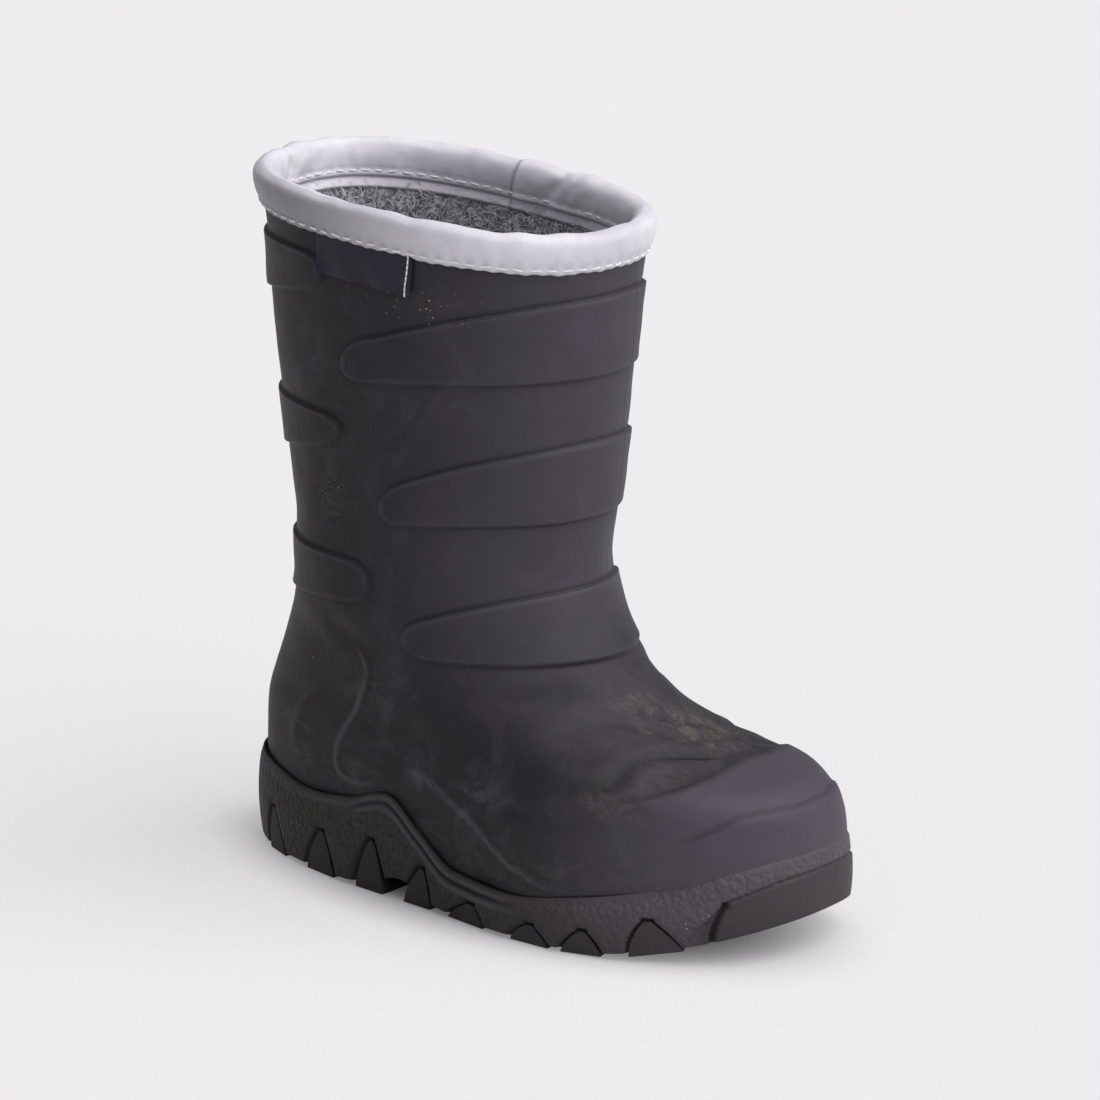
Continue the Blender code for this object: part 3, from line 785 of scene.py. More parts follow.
def felt_material():
    """Charcoal wool felt, matted, with paler wool worked into it."""
    paint = Paint("lining_felt")
    strands = paint.noise(330, 8, 0.72, 2.6)
    curls = paint.noise(150, 7, 0.75, 3.4)
    paint.base(paint.span(strands, 0.40, 0.68), FELT, FELT_MIDDLE)
    paint.tint(paint.span(curls, 0.55, 0.70), FELT_PALE, 0.75)
    paint.bump(strands, 0.0007)
    paint.bump(paint.noise(1300, 4, 0.7), 0.0002, 0.8)
    return paint.complete(Roughness=0.95, Specular_IOR_Level=0.2, Sheen_Weight=0.5,
                          Sheen_Roughness=0.6)


def fibre_material():
    """Single wool fibres, from charcoal to nearly white by their tone."""
    paint = Paint("felt_fibre")
    paint.base(paint.mask("tone"), FIBRE, FIBRE_PALE)
    return paint.complete(Roughness=0.7, Specular_IOR_Level=0.3, Sheen_Weight=0.3)


def tab_material():
    """Navy woven ribbon, with its warp and weft as fine waves."""
    paint = Paint("tab_weave")
    warp, weft = (
        paint.maths("SINE", paint.times(paint.mask(mask), 2*np.pi*threads))
        for mask, threads in (("along", 95), ("down", 44))
    )
    weave = paint.scaled(paint.times(warp, weft), 0.5, 0.5)
    fuzz = paint.noise(900, 3, 0.6)
    paint.base(paint.times(weave, 0.6), RIBBON, RIBBON_PALE)
    paint.tint(paint.span(fuzz, 0.55, 0.8), RIBBON_FUZZ, 0.3)
    paint.bump(weave, 0.00012, 0.9)
    paint.bump(fuzz, 0.00006, 0.7)
    return paint.complete(Roughness=0.72, Sheen_Weight=0.12, Sheen_Roughness=0.4,
                          Specular_IOR_Level=0.3)


def curve_through(points, count=60):
    """Points along a smooth curve through marks of degrees from the front and position."""
    marks = np.array(points, float)
    place = np.linspace(0, len(marks) - 1, count)
    low = np.clip(place.astype(int), 0, len(marks) - 2)
    t = (place - low)[:, None]
    before = marks[np.maximum(low - 1, 0)]
    after = marks[np.minimum(low + 2, len(marks) - 1)]
    a = marks[low]
    b = marks[low + 1]
    return 0.5*(2*a + (b - before)*t + (2*before - 5*a + 4*b - after)*t**2
                + (3*a - before - 3*b + after)*t**3)


def near_curve(points, marks, reach):
    """For points near a moulded line: distance from it, side of it and how far along it."""
    smooth = curve_through(marks)
    line = shell_point(np.radians(smooth[:, 0]), smooth[:, 1])
    gap = np.full(len(points), 1.0)
    side = np.zeros(len(points))
    share = np.zeros(len(points))
    low = line.min(0) - reach
    high = line.max(0) + reach
    near = np.nonzero(((points > low) & (points < high)).all(1))[0]
    if len(near) == 0:
        return gap, side, share
    some = points[near]
    a = line[:-1]
    step = line[1:] - a
    length2 = (step**2).sum(-1)
    t = np.clip(((some[:, None] - a)*step).sum(-1)/length2, 0, 1)
    foot = a + step*t[..., None]
    distance = np.linalg.norm(some[:, None] - foot, axis=-1)
    best = distance.argmin(1)
    rows = np.arange(len(some))
    gap[near] = distance[rows, best]
    share[near] = (best + t[rows, best])/(len(line) - 1)
    off = some - foot[rows, best]
    way = step[best]
    side[near] = np.sign(way[:, 0]*off[:, 2] - way[:, 2]*off[:, 0])
    return gap, side, share


def band_relief(around, height):
    """How far the bands stand out, the painted shade in their grooves and the painted highlights on
    their lips.
    """
    angle = from_front(around)
    relief = np.zeros(around.shape)
    groove_shade = np.zeros(around.shape)
    painted_highlight = np.zeros(around.shape)
    for band in BANDS:
        edges = [edge*collar_height for edge in band_edges(band, angle, 0.08, 0.1)]
        ends = (
            ((band.tip - angle)*band_degree, *edges[:2], band_tip_round),
            ((angle - band.rear_end)*band_degree, *edges[2:], band_rear_round),
        )
        for inward, top, bottom, round_end in ends:
            near_end = np.clip(1 - inward/round_end, 0, 1)
            blunt = np.sqrt(np.clip(1 - near_end**2.4, 0, 1))
            middle = (top + bottom)/2
            half = (top - bottom)/2*blunt
            from_edge = np.minimum(half - np.abs(height - middle), inward)
            from_edge = np.where(inward < -3*MM, -3*MM, from_edge)
            upper = height > middle
            soft = np.where(upper, 0.7, 1.0)*MM + 0.9*MM*near_end*(~upper)
            relief = np.maximum(relief, band_step*rounded_step(from_edge, soft))
            # The trench just outside each edge, with its painted shade, darker along the top edge
            trench = bell(from_edge + 0.55*MM, 0.42*MM)*np.where(upper, 1.0, 0.55)
            groove_shade = np.maximum(groove_shade, trench*(1 - 0.6*near_end))
            # Painted highlight along each band's lip, stronger at its top edge
            lip = bell(from_edge - 0.75*MM, 0.5*MM)
            painted_highlight = np.maximum(painted_highlight, lip*np.where(upper, 0.30, 0.12))
    return relief - band_groove*groove_shade, groove_shade, painted_highlight


def shell_rows(around):
    """Section positions of the shell's rows, packed close to its edges."""
    sole = sole_edge_place(around)
    lines = [np.maximum(sole - 0.45, 0.05), sole]
    cap = np.maximum(cap_line(around), sole + cap_above_sole)
    first_band = place_at_height(around, band_lines(BANDS[0], around)[1])
    midway = sole + 0.46*(first_band - sole)
    lines.append(cap + (midway - cap)*ramp(from_front(around), 62, 36))
    for band in BANDS:
        top, bottom = band_lines(band, around)
        lines.append(place_at_height(around, bottom))
        lines.append(place_at_height(around, top))
    lines.append(np.full(around.shape, TOP))
    counts = (4, 38, 44, 21, 18, 22, 19, 22, 18)
    rows = []
    for low, high, count in zip(lines, lines[1:], counts):
        s = np.arange(count)/count
        t = 0.2*s + 0.4*(1 - np.cos(np.pi*s))
        rows.extend(low + (high - low)*share for share in t)
    rows.append(lines[-1])
    return np.array(rows)


def shell_relief(around, place, points):
    """Relief of the shell's outer face, with the masks that its rubber reads."""
    relief, groove_shade, painted_highlight = band_relief(around, points[..., 2])
    speed = np.linalg.norm(
        shell_point(around, np.minimum(place + 0.02, TOP))
        - shell_point(around, np.maximum(place - 0.02, 0)), axis=-1)/0.04
    angle = from_front(around)
    inside_cap = (cap_line(around) - place)*speed
    cap_fade = ramp(angle, cap_spread, -30)
    relief += cap_step*rounded_step(inside_cap, cap_soft + cap_soft_aside*(1 - cap_fade))*cap_fade
    # Painted shade in the valley beside the toe cap's edge
    groove_shade = np.maximum(groove_shade, 0.50*cap_fade*bell(inside_cap + 1.4*MM, 1.6*MM))
    below = (np.interp(angle, *np.transpose(BUMPER)) - place)*speed
    bumper_fade = ramp(angle, 56, -14)
    relief += bumper_step*MM*rounded_step(below, 1.3*MM)*bumper_fade
    # Painted shade just above the bumper's edge
    groove_shade = np.maximum(groove_shade, 0.6*bumper_fade*bell(below + 0.8*MM, 0.7*MM))
    skin = points.reshape(-1, 3)
    extra = np.zeros(len(skin))
    dark = np.zeros(len(skin))
    light = np.zeros(len(skin))
    for sign in (1, -1):
        def near_line(line):
            marks = [(sign*mark, level) for mark, level in line.points]
            gap, side, share = near_curve(skin, marks, line.reach*MM)
            return gap, side, share, bell(gap, line.breadth*MM)
        gap, _, share, ridge = near_line(SWOOSH)
        taper = fading(share, 0.5)
        extra += SWOOSH.height*MM*(ridge*taper)
        # Painted highlight along the swoosh's ridge
        light = np.maximum(light, taper*bell(gap, 0.60*MM))
        _, _, share, ridge = near_line(ROUNDEL)
        extra += ROUNDEL.height*MM*ridge*fading(share, 0.6)
        gap, side, share, ridge = near_line(FOXING)
        taper = smooth_step(share*5)*smooth_step((1 - share)*2.6)
        step = rounded_step(np.where(side < 0, gap, -gap), 1.0*MM)*bell(gap, 7*MM)
        extra += MM*(foxing_step*step + FOXING.height*ridge)*taper
        # Painted highlight along the foxing's step
        light = np.maximum(light, 0.8*bell(gap, 0.7*MM)*taper)
        _, _, share, trough = near_line(HOLLOW)
        extra += HOLLOW.height*MM*trough*fading(share, 1, 0.01)
    for crease in CREASES:
        gap, _, share = near_curve(skin, crease.points, crease_reach)
        taper = fading(share, 0.8, 0.0)
        trough = bell(gap, crease.breadth*MM)
        shoulder = bell(gap - 2.0*crease.breadth*MM, 1.3*crease.breadth*MM)
        extra += crease_strength*taper*crease.depth*MM*(0.42*shoulder - trough)
        # Painted shade in the crease's trough
        dark = np.maximum(dark, 0.55*trough*taper)
    for mark, level, depth, radius in DENTS:
        gap = np.linalg.norm(skin - shell_point(radians(mark), level), axis=-1)
        extra -= depth*MM*bell(gap, radius*MM)
    extra += sum(depth*MM*ripple(skin, length*MM, seed) for depth, length, seed in SHELL_RIPPLES)
    relief += extra.reshape(around.shape)
    groove_shade = np.maximum(groove_shade, dark.reshape(around.shape))
    painted_highlight = np.maximum(painted_highlight, light.reshape(around.shape))
    return relief, groove_shade, painted_highlight


# Patches on the rubber: centre ahead, to the side and up, and radii, in millimetres, strength
SCUFFS = (
    ((96, 38, 36), (24, 12, 12), 1.0), ((74, 36, 60), (14, 10, 9), 0.6),
    ((120, 38, 32), (18, 12, 10), 0.6), ((60, 38, 150), (30, 12, 30), 0.35),
    ((150, 20, 45), (18, 16, 10), 0.5),
)
MUD_PATCHES = (
    ((146, -3, 56), (15, 15, 6), 1.0), ((133, 5, 62), (11, 9, 5), 0.75),
    ((146, 34, 44), (11, 7, 4), 0.75), ((152, 22, 49), (9, 8, 4), 0.45),
    ((50, 36, 33), (16, 8, 8), 0.38), ((28, 30, 36), (12, 10, 12), 0.28),
    ((44, 35, 113), (5, 6, 8), 0.45), ((80, 37, 176), (10, 5, 3), 0.25),
    ((60, 36, 58), (8, 6, 8), 0.18),
)
SAND_PATCHES = (
    ((78, 37, 175), (14, 9, 4.5), 1.0), ((44, 35, 113), (4, 6, 6), 0.8),
    ((165, 32, 13), (10, 12, 6), 1.0),
)
# Where the bloom and its painted light are taken back, on the instep
DARKER_INSTEP = (((120, 6, 72), (20, 30, 15), 0.45),)


def patches(points, table):
    """Soft round patches, each full at its centre and fading over its radii."""
    total = np.zeros(points.shape[:-1])
    for centre, radii, strength in table:
        off = (points - np.array(centre)*MM)/(np.array(radii)*MM)
        total = np.maximum(total, strength*np.exp(-(off**2).sum(-1)))
    return total


def bloom_and_painted_light_mask(around, place, points):
    """Where the rubber has its grey bloom, partly painted light: on the faces that turn ahead and
    up, towards the key light, most on the toe.
    """
    normal = shell_normal(around, np.clip(place, 0.05, TOP))
    facing = normal @ np.array([0.92, 0.30, 0.0])
    toe = ramp(points[..., 0], 112*MM, 60*MM)
    on_cap = smooth_step((cap_line(around) - place)/0.22)*ramp(from_front(around), 66, -34)
    shin = ramp(facing, 0.05, 0.90)*(0.78 + 0.22*toe)*(1 - patches(points, DARKER_INSTEP))
    return np.clip(np.maximum(shin, 0.72*on_cap) + 0.16*toe, 0, 1)


def mud_mask(points):
    """Dried mud: its patches, a splash low down and a trace everywhere."""
    low = 0.20*ramp(points[..., 2], 40*MM, -26*MM)
    return np.clip(np.maximum(patches(points, MUD_PATCHES), low) + 0.03, 0, 1)


def make_shell(material):
    """The rubber: a fine outer face, the rim, and a plain inner face behind the felt."""
    columns = spread_angles(shell_columns)
    place = shell_rows(columns)
    around = np.broadcast_to(columns, place.shape)
    base = shell_point(around, place)
    relief, groove_shade, painted_highlight = shell_relief(around, place, base)
    outer = base + shell_normal(around, place)*relief[..., None]
    inner_rows = np.linspace(1, 0, shell_inner_rows)[:, None]*(TOP - place[0]) + place[0]
    inner_around = np.broadcast_to(columns, inner_rows.shape)
    inner = offset_point(inner_around, inner_rows, -0.5*wall)
    points = np.concatenate([outer, inner])
    rows = len(points)
    plain = np.zeros(inner.shape[:-1])
    masks = {
        "groove_shade": np.concatenate([groove_shade, plain]),
        "painted_highlight": np.concatenate([painted_highlight, plain]),
        "bloom_and_painted_light": np.concatenate([bloom_and_painted_light_mask(around, place, base), plain]),
        "scuff": np.concatenate([patches(base, SCUFFS), plain]),
        "mud": np.concatenate([mud_mask(outer), plain]),
        "sand": np.concatenate([patches(outer, SAND_PATCHES), plain]),
    }
    shell = add_piece("rubber_shell", points.reshape(-1, 3), tube_faces(rows, len(columns), True),
                      material, masks)
    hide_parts("upper")
    return shell


def sole_side(around, share, edge=None):
    """The sole's side from its foot to its upper edge, without its relief."""
    row = through_rows(SECTIONS, 1.0)
    foot = outline_point(around, np.array([
        boot_length - sole_round, 0, sole_round, 0, row[4] + sole_wall, *row[5:9], 0,
    ]))
    foot[..., 2] = underside(foot[..., 0])
    edge = sole_edge_place(around) if edge is None else edge
    lip = offset_point(around, edge, clearance + sole_lip)
    level_out = shell_normal(around, edge)
    level_out[..., 2] = 0
    level_out /= np.linalg.norm(level_out, axis=-1, keepdims=True)
    share = np.asarray(share, float)[..., None]
    return foot + (lip - foot)*share + level_out*4*share*(1 - share)*sole_round, level_out, lip


def wall_frame(around):
    """A point halfway up the sole's side, its way along the side and its way inward."""
    near, _, _ = sole_side(np.array([around - 0.01, around, around + 0.01]), 0.5)
    along = near[2] - near[0]
    along[2] = 0
    along /= np.linalg.norm(along)
    inward = np.array([-along[1], along[0], 0])
    if np.dot(inward, np.array([boot_length*0.5, 0, 0]) - near[1]) < 0:
        inward = -inward
    return near[1], along, inward


def lug_half(lug, level):
    """Half the breadth of a lug at a level from its foot, 0, to its apex, 1."""
    half = lug.width*ball_width/2
    return half*(0.13 + 0.87*np.clip(1 - np.clip(level, 0, 1)**1.5, 0, 1)**0.9)


def lug_lean(lug, level):
    """How far a lug's middle is shifted along the wall at a level."""
    return lug.width*ball_width*lug.lean*level


def lug_list():
    """Every lug on both sides, with its place on the wall and its heights."""
    lugs = []
    for lug in (*SIDE_LUGS, TOE_NOTCH):
        for side in (1, -1):
            middle, along, inward = wall_frame(side*radians(lug.around))
            ground = float(ground_line(middle[0]))
            lugs.append((lug, middle, along, inward, ground, lug.apex*sole_height))
    return lugs


def notches(side, lugs):
    """Where the sole's side is cut back around the lugs, and where it is on or near a lug."""
    height = side[..., 2]
    notch = np.zeros(height.shape)
    on_lug = np.zeros(height.shape)
    for lug, middle, along, _, ground, apex in lugs:
        off = side - middle
        level = (height - ground)/(apex - ground)
        across = off @ along - lug_lean(lug, np.clip(level, 0, 1))
        within = np.minimum(lug_half(lug, level) + notch_margin - np.abs(across),
                            apex + notch_margin - height)
        near = np.linalg.norm(off[..., :2], axis=-1) < notch_reach
        cut = np.where(near, rounded_step(within, notch_round), 0)
        if lug is TOE_NOTCH:
            rearward = across*np.sign(middle[1])
            cut = cut*rounded_step(rearward, 1.5*MM)*(1 - ramp(within, 1.2*MM, 1.0*MM))
        notch = np.maximum(notch, cut)
        on_lug = np.maximum(on_lug, np.where(near, ramp(within, -2.0*MM, 1.5*MM), 0))
    return notch, on_lug


def sole_relief(side, wide, edge_height, lugs):
    """How far the sole's side stands out, and the masks that its rubber reads."""
    ahead = side[..., 0]
    ahead_mm = ahead/MM
    height = side[..., 2]
    notch, on_lug = notches(side, lugs)
    # The double ridge along the waist
    waist = ramp(ahead_mm, 52, 8)*ramp(ahead_mm, 122, -14)
    waist_room = waist*smooth_step((edge_height - underside(ahead))/(6*MM) - 0.4)
    down = (edge_height - height)/MM
    ridges = bell(down - 1.2, 0.75) + 0.9*bell(down - 4.0, 0.85)
    trench = bell(down - 2.6, 0.55)
    push = -notch_depth*notch + waist_room*MM*(ridge_height*ridges - ridge_trench*trench)
    # The smooth bumper at the toe, with the groove over it
    toe_on = ramp(ahead_mm, 168, 5)
    from_toe = np.interp(ahead_mm, *TOE_GROOVE) - height/MM
    toe_trench = toe_on*bell(from_toe + 0.5, 0.45)
    smooth_toe = toe_on*rounded_step(from_toe, 1.5)
    push += toe_step*toe_on*rounded_step(from_toe, 0.8)
    push -= toe_trench_depth*toe_trench
    # The rounding below the upper edge, stronger on the forefoot
    fore = ramp(ahead_mm, 112, 20)
    push -= MM*(0.35 + 0.65*fore)*smooth_step((wide - 0.88 + 0.10*fore)/0.12)
    push += sole_ripple*ripple(side.reshape(-1, 3), 22*MM, 8).reshape(height.shape)*(1 - on_lug)
    # Painted shade in the notches round the lugs, in the waist's trench and in the toe's groove
    groove_shade = np.maximum(np.maximum(notch, 0.8*waist_room*trench), 0.8*toe_trench)
    # Painted highlight on the waist's ridges and along the upper edge behind the forefoot
    highlit_edge = 0.45*bell(wide - 0.93, 0.05)*(1 - fore)
    pebble = (1 - on_lug)*(1 - smooth_toe)*(1 - 0.8*waist*ramp(down, 6, -3))
    # Grey bloom, partly painted light, towards the toe and higher up the side
    bloom_and_painted_light = ramp(ahead, 95*MM, 70*MM)*(0.65 + 0.35*ramp(height, 4*MM, 14*MM))
    return push, {
        "groove_shade": groove_shade,
        "bloom_and_painted_light": bloom_and_painted_light*(1 - 0.5*smooth_toe),
        "painted_highlight": np.maximum(0.8*waist_room*np.minimum(ridges, 1), highlit_edge),
        "pebble": pebble*(1 - ramp(wide, 0.93, 0.05)),
        "mud": 0.55*ramp(ahead, 60*MM, -50*MM) + 0.25,
    }


def make_sole(material, lugs):
    """The cup: inner lip, upper edge, side with its notches and ridges, and the underside."""
    half_turn = spread_angles(sole_columns) % (2*np.pi)
    half_turn = np.sort(half_turn[(half_turn > 1e-4) & (half_turn < np.pi - 1e-4)])
    half_turn = np.concatenate([[0.0], half_turn, [np.pi]])
    columns = np.concatenate([half_turn, 2*np.pi - half_turn[-2:0:-1]])
    edge = sole_edge_place(columns)
    shares = np.concatenate([np.linspace(0, 0.94, 44), [0.965, 0.985, 1.0]])
    around, wide = np.broadcast_arrays(columns, shares[:, None])
    side, out, lip = sole_side(around, wide, np.broadcast_to(edge, around.shape))
    push, masks = sole_relief(side, wide, lip[..., 2], lugs)
    side = side + out*push[..., None]
    masks["sand"] = patches(side, SAND_PATCHES)
    inner_places = np.maximum(edge - np.array([0.02, 0.06, 0.25, 0.5])[:, None], 0.02)
    inner_around = np.broadcast_to(columns, inner_places.shape)
    inner = offset_point(inner_around, inner_places, clearance + 0.15*MM)
    crest = (side[-1] + inner[0])/2 + np.array([0, 0, 0.25*MM])
    foot = side[0]
    mirror = np.roll(foot[::-1], 1, axis=0)
    spine = np.stack([0.5*boot_length + (foot[:, 0] - 0.5*boot_length)*0.93,
                      (foot[:, 1] + mirror[:, 1])/2, foot[:, 2]], -1)
    bottom = []
    for share in (0.20, 0.45, 0.65, 0.82, 0.93, 0.985):
        ring = spine + (foot - spine)*share
        ring[:, 2] = underside(ring[:, 0])
        bottom.append(ring)
    bottom[-1][:, 2] -= 0.1*MM
    points = np.concatenate([np.array(bottom), side, crest[None], inner])
    rows, count = points.shape[:2]
    faces = closed_faces(rows, count)
    # Rows beyond the side: some painted shade under the sole and on its inner lip, and dust under
    # it
    unseen = {"groove_shade": (0.2, 0.35), "mud": (0.5, 0.0)}
    for name, values in masks.items():
        below, above = unseen.get(name, (0.0, 0.0))
        masks[name] = np.concatenate([
            np.full((len(bottom), count), below), values, np.full((len(inner) + 1, count), above),
        ])
    sole = add_piece("cup_sole", points.reshape(-1, 3), faces, material, masks)
    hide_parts("outsole")
    return sole


def lug_solid(lug, middle, along, inward, ground, apex):
    """A lug with a rounded outline, from the notch in to the sole's underside."""
    root = float(underside(middle[0])) + lug_root
    sections = []
    depths = (lug_recess, notch_depth + clearance, notch_depth + 2*sole_wall, lug.reach*ball_width)
    for number, depth in enumerate(depths):
        top = apex if number < 2 else min(root, apex)
        narrow = lug_taper if number == 3 else 1.0
        left = []
        right = []
        for level in (0.0, 0.25, 0.5, 0.7, 0.85, 0.95, 1.0):
            breadth = float(lug_half(lug, level))*narrow
            for sign, side in ((-1, left), (1, right)):
                tucked = depth + lug_tuck*(1 - level)**2*(number < 2)
                corner = middle + inward*tucked + along*(sign*breadth + lug_lean(lug, level))
                foot = float(ground_line(corner[0]))
                corner[2] = foot + (top - foot)*level
                side.append(corner)
        sections.append(np.array(left + right[::-1]))
    return np.concatenate(sections), capped_faces(len(sections), len(sections[0]))


def bar_solid(bar):
    """A bar across the middle of the tread, wider at its root."""
    sides = outline_point(np.array([0.5, -0.5])*np.pi, through_rows(SECTIONS, 0.0))
    centre_side = sides[:, 1].mean()
    corners = []
    for at_root in (False, True):
        for x, y in ((-1, -1), (1, -1), (1, 1), (-1, 1)):
            place = bar.along*boot_length
            place += x*bar.deep*ball_width/2*(bar_flare if at_root else 1)
            up = underside(place) + lug_root if at_root else ground_line(place)
            corners.append((place, centre_side + y*bar.across*ball_width/2, up))
    faces = [(0, 1, 2, 3), (4, 5, 6, 7)]
    faces += [(k, (k + 1) % 4, 4 + (k + 1) % 4, 4 + k) for k in range(4)]
    return np.array(corners), faces


def soften(thing, width, segments):
    """Rounds the piece's edges and keeps the result."""
    bevel = thing.modifiers.new("round", "BEVEL")
    bevel.width = width
    bevel.segments = segments
    bevel.limit_method = "ANGLE"
    bevel.angle_limit = radians(30)
    bpy.context.view_layer.update()
    shape = thing.evaluated_get(bpy.context.evaluated_depsgraph_get())
    mesh = bpy.data.meshes.new_from_object(shape)
    thing.modifiers.clear()
    thing.data = mesh
    mesh.shade_smooth()


def join_solids(solids):
    points = []
    faces = []
    base = 0
    for some_points, some_faces in solids:
        points.append(some_points)
        faces.extend(tuple(base + i for i in face) for face in some_faces)
        base += len(some_points)
    return np.concatenate(points), faces


def make_lugs(material, lugs):
    """The tread under the side: the lugs in their notches, and the bars between them."""
    solids = [lug_solid(*lug) for lug in lugs if lug[0] is not TOE_NOTCH]
    points, faces = join_solids(solids + [bar_solid(bar) for bar in MIDDLE_BARS])
    thing = add_piece("tread_lugs", points, faces, material)
    soften(thing, 0.6*MM, 3)
    corners = np.empty(3*len(thing.data.vertices))
    thing.data.vertices.foreach_get("co", corners)
    ahead = boot_length/2 - (corners.reshape(-1, 3)[:, 1] - shift[1])
    # Grey bloom, partly painted light, towards the toe
    bloom_and_painted_light = 0.45*ramp(ahead, 95*MM, 70*MM)
    even = np.full(len(ahead), 0.25)
    write_masks(thing.data, {"bloom_and_painted_light": bloom_and_painted_light, "mud": even, "pebble": even})
    return thing


# The binding's section, from its outer hem over the rim to its inner flange:
# distance down from the rim, distance out from the shell and lift, in millimetres
BINDING_SECTION = (
    (8.6, 0.35, 0.0), (8.75, 0.75, 0.0), (8.55, 1.15, 0.0), (7.9, 1.30, 0.0), (7.2, 1.12, 0.0),
    (6.4, 1.48, 0.0), (5.0, 1.85, 0.0), (3.0, 2.05, 0.0), (1.2, 2.00, 0.0), (0.0, 1.80, 0.25),
    (0.0, 1.30, 1.10), (0.0, 0.45, 1.75), (0.0, -0.9, 2.05), (0.0, -2.3, 1.85), (0.0, -3.5, 1.15),
    (0.0, -4.25, 0.20), (0.8, -4.55, 0.0), (2.4, -4.75, 0.0), (4.4, -4.60, 0.0), (6.2, -4.25, 0.0),
    (7.3, -3.75, 0.0), (8.2, -4.05, 0.0), (8.9, -4.10, 0.0), (9.15, -3.75, 0.0), (9.1, -3.35, 0.0),
    (9.6, -3.30, 0.0), (11.2, -3.30, 0.0), (12.4, -3.28, 0.0), (12.7, -3.10, 0.0),
    (12.6, -2.95, 0.0), (9.0, -2.95, 0.0), (4.0, -2.95, 0.0), (0.0, -2.95, 0.35), (0.0, 0.35, 0.35),
)
outer_stitch_down = 7.2
inner_stitch_down = 7.3
stitch_pitch = 4.5*MM
# Rows of stitches: millimetres down and out, side they stand out to, share of the pitch
STITCH_LINES = (
    (outer_stitch_down + 0.55, 1.20, 1.0, 0.70),
    (inner_stitch_down + 0.35, -4.02, -1.0, 0.62),
)
overlap_angle = -93.0
# Puckers: degrees from the front, breadth in degrees, depth in millimetres
PUCKERS = (
    (-84.0, 2.4, 1.4), (-79.0, 2.0, 0.7), (-70.0, 3.0, 0.3), (-172.0, 3.5, 0.8), (174.0, 2.6, 1.3),
    (165.0, 2.5, 0.35), (-128.0, 4.0, 0.25), (-40.0, 4.0, 0.3), (60.0, 6.0, 0.15),
    (120.0, 5.0, 0.2),
)
lap_step = 0.55*MM
scallop_depth = 0.22*MM
hem_wave = 0.30*MM
pinch_breadth = 1.3*MM
stitch_radius = 0.30*MM
# Wool fibres: depths below the rim, near the collar and deeper, lengths and radii, in millimetres
fibre_count = 3300
fibre_steps = 9
fibres_near_top = 0.85
FIBRE_TOP = (10, 44)
FIBRE_DEEP = (44, 150)
FIBRE_LENGTH = (3.0, 8.5)
FIBRE_RADIUS = (0.045, 0.085)
# Waves of the felt's nap: depth and length in millimetres, seed
NAP = ((0.35, 9, 31), (0.25, 4, 32), (0.15, 2.2, 33))
# The tab's thread and its tuck under the binding, in millimetres
thread_pitch = 1.55
thread_stitch = 1.30
tab_tuck = -1.4
floor_reach = 14.0
# Lights: name, where each comes from, strength, breadth in degrees, colour
LIGHTS = (
    ("key", (0.28, -1.0, 1.02), 2.70, 74, (1.0, 0.985, 1.0)),
    ("top", (-0.12, -0.22, 1.0), 1.15, 70, (1.0, 1.0, 1.0)),
)


def section_through(rows, count):
    """Evenly spread rows of a smooth closed section."""
    table = np.array(rows, float)
    n = len(table)
    fine = np.linspace(0, n, 40*n, endpoint=False)
    low = fine.astype(int)
    t = (fine - low)[:, None]
    p0 = table[(low - 1) % n]
    p1 = table[low % n]
    p2 = table[(low + 1) % n]
    p3 = table[(low + 2) % n]
    smooth = p1 + 0.5*t*((p2 - p0) + t*(2*p0 - 5*p1 + 4*p2 - p3 + t*(3*(p1 - p2) + p3 - p0)))
    smooth = np.where(np.abs(p1 - p2) > 3.0, p1 + (p2 - p1)*t, smooth)
    length = np.concatenate([[0], np.cumsum(np.linalg.norm(np.diff(smooth, axis=0), axis=1))])
    even = np.interp(np.linspace(0, length[-1], count), length, np.arange(len(length)))
    low = np.clip(even.astype(int), 0, len(smooth) - 2)
    t = (even - low)[:, None]
    return smooth[low]*(1 - t) + smooth[low + 1]*t


def collar_point(around, down, out, lift):
    """A point of the binding from its section's measures, in metres."""
    place = below_rim(around, down)
    point = offset_point(around, place, out)
    point[..., 2] += lift
    return point


def arc_along(around):
    """Length along the rim up to each angle."""
    rim = shell_point(around, TOP)
    step = np.linalg.norm(np.diff(rim, axis=0), axis=1)
    return np.concatenate([[0], np.cumsum(step)])


def angle_gap(around, mark):
    """Signed degrees from a mark to each angle."""
    return (np.degrees(around) - mark + 180) % 360 - 180


